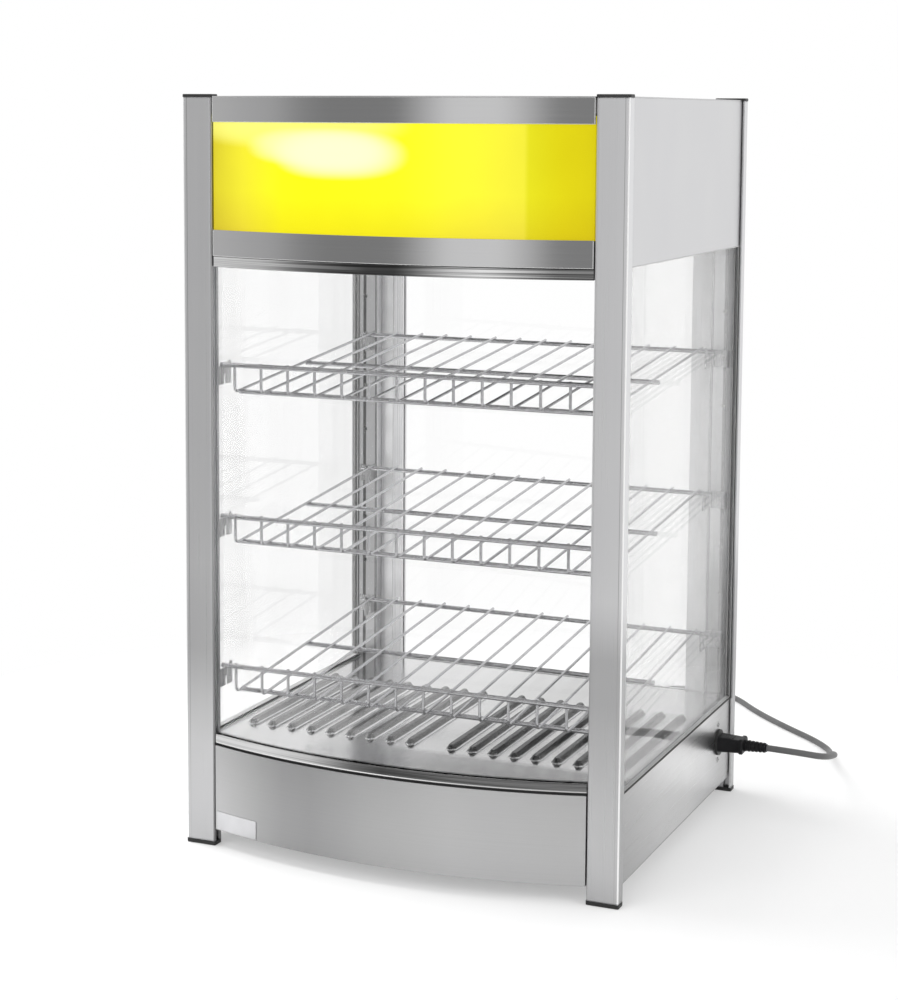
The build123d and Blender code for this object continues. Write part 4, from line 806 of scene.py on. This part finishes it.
def makeTrim(facts):
    # painted shade: black strips in the gaps between the head's rails and the posts; also the catch's strike
    # plate and the hinge pins' heads
    strips = bmesh.new()
    for side in (-1, 1):
        ends = sorted(side * x for x in facts["endX"])
        low, high = zip(ends, facts["endY"], facts["headZ"])
        addBlock(strips, low, high, facts["endSoften"])
    # painted shade: the gaps read black
    makePiece("headGapShadeStrips", strips, "sealRubber", "root")
    strike = bmesh.new()
    low, high = zip(facts["strikeX"], facts["strikeY"], facts["strikeZ"])
    addBlock(strike, low, high, facts["strikeSoften"])
    makePiece("catchStrikePlate", strike, "bracketSteel", "door")
    heads = bmesh.new()
    for level, way in facts["pinLevels"]:
        addTurned(heads, facts["pinDome"], (facts["pinX"], facts["pinY"], level), (0, 0, way))
    makePiece("hingePinHeads", heads, "bracketSteel", "root")


dialFacts = {
    "x": 0.070, "z": 0.043, "panelY": 0.20275, "thick": 0.00012, "sweep": 270.0,
    "steps": 12, "major": 3, "inner": 0.0170, "outer": 0.0188, "majorOuter": 0.0198, "wide": 0.0006,
    "numbers": ["0", "30", "50", "70", "90"], "numberRing": 0.0226, "numberSize": 0.0042, "bold": 0.00012,
    "pointerHalf": 0.0006, "pointerZ": (0.0475, 0.0542), "pointerY": (0.2192, 0.22010),
    "pointerSoften": 0.0001,
}


def makeTicks(facts):
    # ticks printed round the knob, longer beside the numbers
    ticks = bmesh.new()
    half = facts["wide"] / 2
    for step in range(facts["steps"] + 1):
        angle = math.radians(facts["sweep"] * step / facts["steps"])
        outer = facts["majorOuter"] if step % facts["major"] == 0 else facts["outer"]
        corners = [(-half, facts["inner"]), (half, facts["inner"]), (half, outer), (-half, outer)]
        turned = [(u * math.cos(angle) - v * math.sin(angle), u * math.sin(angle) + v * math.cos(angle))
                  for u, v in corners]
        low, high = [[ticks.verts.new((facts["x"] - u, facts["panelY"] + depth, facts["z"] + v))
                      for u, v in turned] for depth in (0.0, facts["thick"])]
        addPrism(ticks, low, high)
    makePiece("dialTicks", ticks, "printBlack", "root")


def makeNumbers(facts):
    # plain temperatures, as seen from behind the case
    count = len(facts["numbers"]) - 1
    for place, number in enumerate(facts["numbers"]):
        angle = math.radians(facts["sweep"] * place / count)
        words = bpy.data.curves.new("dialNumber" + number, "FONT")
        words.body = number
        words.size = facts["numberSize"]
        words.align_x = words.align_y = "CENTER"
        words.extrude = facts["thick"] / 2
        words.offset = facts["bold"]
        words.materials.append(finishes["printBlack"])
        label = bpy.data.objects.new("dialNumber" + number, words)
        bpy.context.scene.collection.objects.link(label)
        label.location = (
            facts["x"] + facts["numberRing"] * math.sin(angle), facts["panelY"] + facts["thick"] / 2,
            facts["z"] + facts["numberRing"] * math.cos(angle))
        label.rotation_euler = (math.pi / 2, 0, math.pi)
        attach(label, "root")


def makePointer(facts):
    # a white line let into the knob
    pointer = bmesh.new()
    pointerX = (facts["x"] - facts["pointerHalf"], facts["x"] + facts["pointerHalf"])
    low, high = zip(pointerX, facts["pointerY"], facts["pointerZ"])
    addBlock(pointer, low, high, facts["pointerSoften"])
    makePiece("knobPointer", pointer, "printWhite", "knob")


rockerFacts = {
    "y": 0.20275, "z": 0.043, "tilt": 7.0, "slope": 5.57, "reach": 0.0043, "rise": 0.00202,
    "thick": 0.00012, "barLong": 0.0034, "barWide": 0.0006, "ringRadius": 0.0016, "ringWide": 0.0005,
    "ringSegments": 32,
    "rockers": [("power_key", -0.075, "rocker_red"), ("light_key", -0.045, "rocker_green")],
}


def makeRockerMarks(facts):
    # a bar on one end of each rocker and a ring on the other
    tilt = math.radians(facts["tilt"])
    for body, middleX, slot in facts["rockers"]:
        mesh = bmesh.new()

        def addOnFace(places, end, lift):
            # points on the hollowed face of one end of the rocker, lifted off it
            made = []
            for across, along in places:
                v = end * facts["reach"] + along
                u = facts["rise"] + end * along * math.tan(math.radians(facts["slope"])) + lift
                made.append(mesh.verts.new((
                    middleX + across, facts["y"] + u * math.cos(tilt) - v * math.sin(tilt),
                    facts["z"] + u * math.sin(tilt) + v * math.cos(tilt))))
            return made

        thick = facts["thick"]
        halfWide, halfLong = facts["barWide"] / 2, facts["barLong"] / 2
        bar = [(-halfWide, -halfLong), (halfWide, -halfLong), (halfWide, halfLong), (-halfWide, halfLong)]
        addPrism(mesh, addOnFace(bar, 1, -thick), addOnFace(bar, 1, thick))
        outer = ringPlaces(facts["ringRadius"], facts["ringSegments"])
        inner = ringPlaces(facts["ringRadius"] - facts["ringWide"], facts["ringSegments"])
        loops = [addOnFace(ring, -1, lift) for ring, lift in (
            (inner, -thick), (outer, -thick), (outer, thick), (inner, thick))]
        for first, second in zip(loops, loops[1:] + loops[:1]):
            joinLoops(mesh, first, second)
        makePiece(body + "Marks", mesh, "printWhite", body)


leadFacts = {
    "ridgeX": [0.2432, 0.2464, 0.2496, 0.2528], "ridgeHalf": 0.0007, "ridgeY": (0.13805, 0.15245),
    "centreZ": 0.0697, "ridgeReach": (0.0068, 0.0083), "ridgeSoften": 0.0004,
    "plugX": 0.123, "clipReach": (0.0174, 0.0183), "clipY": (0.33745, 0.34305), "clipZ": (0.0185, 0.0223),
    "clipSoften": 0.0002,
}


def makeLeadDetails(facts):
    # finger ridges on the connector and the plug's two earth springs
    ridges = bmesh.new()
    springs = bmesh.new()
    for way in (-1, 1):
        levels = sorted(facts["centreZ"] + way * z for z in facts["ridgeReach"])
        for x in facts["ridgeX"]:
            low, high = zip((x - facts["ridgeHalf"], x + facts["ridgeHalf"]), facts["ridgeY"], levels)
            addBlock(ridges, low, high, facts["ridgeSoften"])
        ends = sorted(facts["plugX"] + way * x for x in facts["clipReach"])
        low, high = zip(ends, facts["clipY"], facts["clipZ"])
        addBlock(springs, low, high, facts["clipSoften"])
    makePiece("connectorRidges", ridges, "plugRubber", "root")
    makePiece("plugEarthSprings", springs, "earthBrass", "root")


makeScrews(screwFacts)
makeTrim(trimFacts)
makeTicks(dialFacts)
makeNumbers(dialFacts)
makePointer(dialFacts)
makeRockerMarks(rockerFacts)
makeLeadDetails(leadFacts)
print("small fittings made")

# mains cord: the route behind the strain relief, then the coil, in metres
cordFacts = {
    "radius": 0.0035, "length": 1.905,
    "start": (0.2901, 0.14525, 0.0697),
    "frontY": -0.20975,  # the route and the coil are measured from the front of the posts
    "route": [
        (0.323, 0.355, 0.0690), (0.349, 0.379, 0.0600), (0.349, 0.429, 0.0490), (0.335, 0.487, 0.032),
        (0.316, 0.546, 0.0140), (0.308, 0.590, 0.0045), (0.281, 0.628, 0.0035), (0.233, 0.671, 0.0035),
        (0.180, 0.725, 0.0035), (0.143, 0.775, 0.0035), (0.105, 0.800, 0.0035), (0.055, 0.795, 0.0035),
        (0.020, 0.755, 0.0040), (0.006, 0.695, 0.0048),
    ],
    "coilCentre": (0.052, 0.596), "coilOuter": 0.046, "pitch": 0.0076, "lowLevel": 0.0048,
    "inwardTurns": 2, "climbTurns": 0.5, "outwardTurns": 1.75, "pointsPerTurn": 16, "tail": 0.022,
}


def coilPoints(facts):
    # turns in on the lower layer, a climb, and turns out on the upper layer
    centreX, centreY = facts["coilCentre"]
    centreY += facts["frontY"]
    perTurn = facts["pointsPerTurn"]
    inward, climb = facts["inwardTurns"], facts["climbTurns"]
    inner = facts["coilOuter"] - facts["pitch"] * inward
    found = []
    for step in range(int((inward + climb + facts["outwardTurns"]) * perTurn) + 1):
        turn = step / perTurn
        angle = math.pi + turn * 2 * math.pi
        if turn <= inward:
            radius, level = facts["coilOuter"] - facts["pitch"] * turn, facts["lowLevel"]
        elif turn < inward + climb:
            share = (turn - inward) / climb
            ease = share * share * (3 - 2 * share)
            radius, level = inner, facts["lowLevel"] + facts["pitch"] * ease
        else:
            radius = min(inner + facts["pitch"] * (turn - inward - climb), facts["coilOuter"])
            level = facts["lowLevel"] + facts["pitch"]
        swell = radius / math.cos(math.pi / perTurn)  # control points stand outside the round line
        found.append((centreX + swell * math.cos(angle), centreY + swell * math.sin(angle), level))
    return found


def makeCord(facts):
    curve = bpy.data.curves.new("mainsLead", "CURVE")
    curve.dimensions = "3D"
    route = [(x, facts["frontY"] + y, z) for x, y, z in facts["route"]]
    centreX, centreY = facts["coilCentre"][0], facts["coilCentre"][1] + facts["frontY"]
    topLevel = facts["lowLevel"] + facts["pitch"]
    ending = [(centreX + facts["tail"], centreY - facts["coilOuter"], topLevel)]
    path = [facts["start"]] + route + coilPoints(facts) + ending
    spline = curve.splines.new("NURBS")
    spline.points.add(len(path) - 1)
    for point, place in zip(spline.points, path):
        point.co = (*place, 1)
    spline.order_u = 3
    spline.use_endpoint_u = True
    spline.resolution_u = 6
    curve.bevel_depth = facts["radius"]
    curve.bevel_resolution = 5
    lead = bpy.data.objects.new("mainsLead", curve)
    bpy.context.scene.collection.objects.link(lead)
    curve.materials.append(finishes["cordSheath"])
    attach(lead, "root")
    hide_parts("mains_cord", "cord_coil")


makeCord(cordFacts)
print("lead laid")

# camera at the photograph's place
cameraFacts = {
    "place": (0.8615, -2.1178, 0.7583), "yaw": 0.4138, "pitch": 0.1082, "roll": 0.0049,
    "lens": 77.33, "shiftX": 0.0305, "shiftY": -0.15,
}


def makeCamera(facts):
    camera = bpy.data.objects.new("viewCamera", bpy.data.cameras.new("viewCamera"))
    bpy.context.scene.collection.objects.link(camera)
    camera.location = facts["place"]
    camera.rotation_mode = "XYZ"
    camera.rotation_euler = (math.pi / 2 - facts["pitch"], -facts["roll"], facts["yaw"])
    camera.data.sensor_width = 36
    camera.data.lens = facts["lens"]
    camera.data.shift_x = facts["shiftX"]
    camera.data.shift_y = facts["shiftY"]
    bpy.context.scene.camera = camera


makeCamera(cameraFacts)

lightFacts = {
    "worldDiffuse": 0.62,
    "key": {"place": (-2.0, 0.4, 2.8), "size": 2.2, "power": 105.0},
    "fill": {"place": (-1.2, -3.0, 1.8), "size": 2.6, "power": 55.0},
    "side": {"place": (3.0, -0.6, 1.6), "size": 2.4, "power": 45.0},
    "aim": (0.0, 0.0, 0.35),
    "azimuthTones": [
        (0.0, 0.85), (0.07, 0.80), (0.113, 0.66), (0.133, 0.44), (0.149, 0.365), (0.19, 0.365), (0.207, 0.80),
        (0.218, 1.1), (0.247, 1.12), (0.262, 0.8), (0.276, 0.4), (0.34, 0.36), (0.40, 1.3), (0.46, 1.3),
        (0.49, 0.9), (0.60, 0.85), (0.72, 1.0), (0.85, 0.8), (1.0, 0.85)],
}


def areaLight(name, facts, aim):
    lamp = bpy.data.lights.new(name, "AREA")
    lamp.size = facts["size"]
    lamp.energy = facts["power"]
    holder = bpy.data.objects.new(name, lamp)
    bpy.context.scene.collection.objects.link(holder)
    holder.location = facts["place"]
    holder.visible_glossy = False  # the metal mirrors the banded studio instead
    holder.rotation_euler = (Vector(aim) - Vector(facts["place"])).to_track_quat("-Z", "Y").to_euler()


def anyRay(tree, kinds):
    # 1 for rays of any of these kinds
    path = addNode(tree, "ShaderNodeLightPath")
    value = path.outputs[kinds[0]]
    for kind in kinds[1:]:
        value = mathNode(tree, "MAXIMUM", value, path.outputs[kind])
    return value


def mixShaders(tree, share, first, second):
    mixer = addNode(tree, "ShaderNodeMixShader")
    for socket, value in zip(mixer.inputs, (share, first, second)):
        tree.links.new(value, socket)
    return mixer.outputs[0]


def makeWorld(facts):
    # white to the eye; the metal mirrors a softly banded studio; shaded surfaces get a level light
    world = bpy.data.worlds.new("studio")
    bpy.context.scene.world = world
    world.use_nodes = True
    tree = world.node_tree
    tree.nodes.clear()
    white = addNode(tree, "ShaderNodeBackground", {"Color": (1, 1, 1, 1), "Strength": 1.0})
    level = addNode(tree, "ShaderNodeBackground", {
        "Color": (1, 1, 1, 1), "Strength": facts["worldDiffuse"]})
    coord = addNode(tree, "ShaderNodeTexCoord")
    around = addNode(tree, "ShaderNodeTexGradient", gradient_type="RADIAL")
    tree.links.new(coord.outputs["Generated"], around.inputs["Vector"])
    mirrored = addNode(tree, "ShaderNodeBackground", {"Strength": 1.0})
    tones = toneRamp(tree, around.outputs["Fac"], facts["azimuthTones"])
    tree.links.new(tones, mirrored.inputs["Color"])
    lit = mixShaders(tree, anyRay(tree, ["Is Glossy Ray"]), level.outputs[0], mirrored.outputs[0])
    seen = anyRay(tree, ["Is Camera Ray", "Is Transmission Ray"])
    output = addNode(tree, "ShaderNodeOutputWorld")
    tree.links.new(mixShaders(tree, seen, lit, white.outputs[0]), output.inputs["Surface"])


floorFacts = {
    "size": 14.0, "sink": 0.0003, "tone": 0.93, "roughness": 0.85,
    "fadeSpan": (0.45, 0.85), "leastGlow": 0.3, "mirrorSpan": (0.8, 1.1), "mirrorLoss": 0.22,
}


def makeFloor(facts):
    # shaded close to the case, where its shadow falls, and plain white further out
    mat, tree, shader = newMaterial("studioFloor")
    shader.inputs["Base Color"].default_value = (facts["tone"],) * 3 + (1,)
    shader.inputs["Roughness"].default_value = facts["roughness"]
    coord = addNode(tree, "ShaderNodeTexCoord")
    distance = addNode(tree, "ShaderNodeVectorMath", operation="LENGTH")
    tree.links.new(coord.outputs["Object"], distance.inputs[0])
    glossy = anyRay(tree, ["Is Glossy Ray"])
    glow = addNode(tree, "ShaderNodeEmission", {"Color": (1, 1, 1, 1)})
    lost = mathNode(tree, "MULTIPLY", glossy, facts["mirrorLoss"])
    tree.links.new(mathNode(tree, "SUBTRACT", 1.0, lost), glow.inputs["Strength"])
    fade = remap(tree, distance.outputs["Value"], facts["leastGlow"], 1.0, *facts["fadeSpan"])
    seen = anyRay(tree, ["Is Camera Ray", "Is Glossy Ray", "Is Transmission Ray"])
    near = mixShaders(tree, mathNode(tree, "MULTIPLY", fade, seen), shader.outputs[0], glow.outputs[0])
    far = remap(tree, distance.outputs["Value"], 0.0, 1.0, *facts["mirrorSpan"])
    gone = addNode(tree, "ShaderNodeBsdfTransparent")  # the metal mirrors the studio past the floor's rim
    whole = mixShaders(tree, mathNode(tree, "MULTIPLY", far, glossy), near, gone.outputs[0])
    tree.links.new(whole, tree.nodes["Material Output"].inputs["Surface"])
    bpy.ops.mesh.primitive_plane_add(size=facts["size"], location=(0, 0, -facts["sink"]))
    floor = bpy.context.object
    floor.name = "studioFloor"
    floor.data.materials.append(mat)


makeFloor(floorFacts)
makeWorld(lightFacts)
for lightName in ("key", "fill", "side"):
    areaLight(lightName + "Light", lightFacts[lightName], lightFacts["aim"])
bpy.context.scene.view_settings.view_transform = "Standard"
print("camera, lights and floor set")
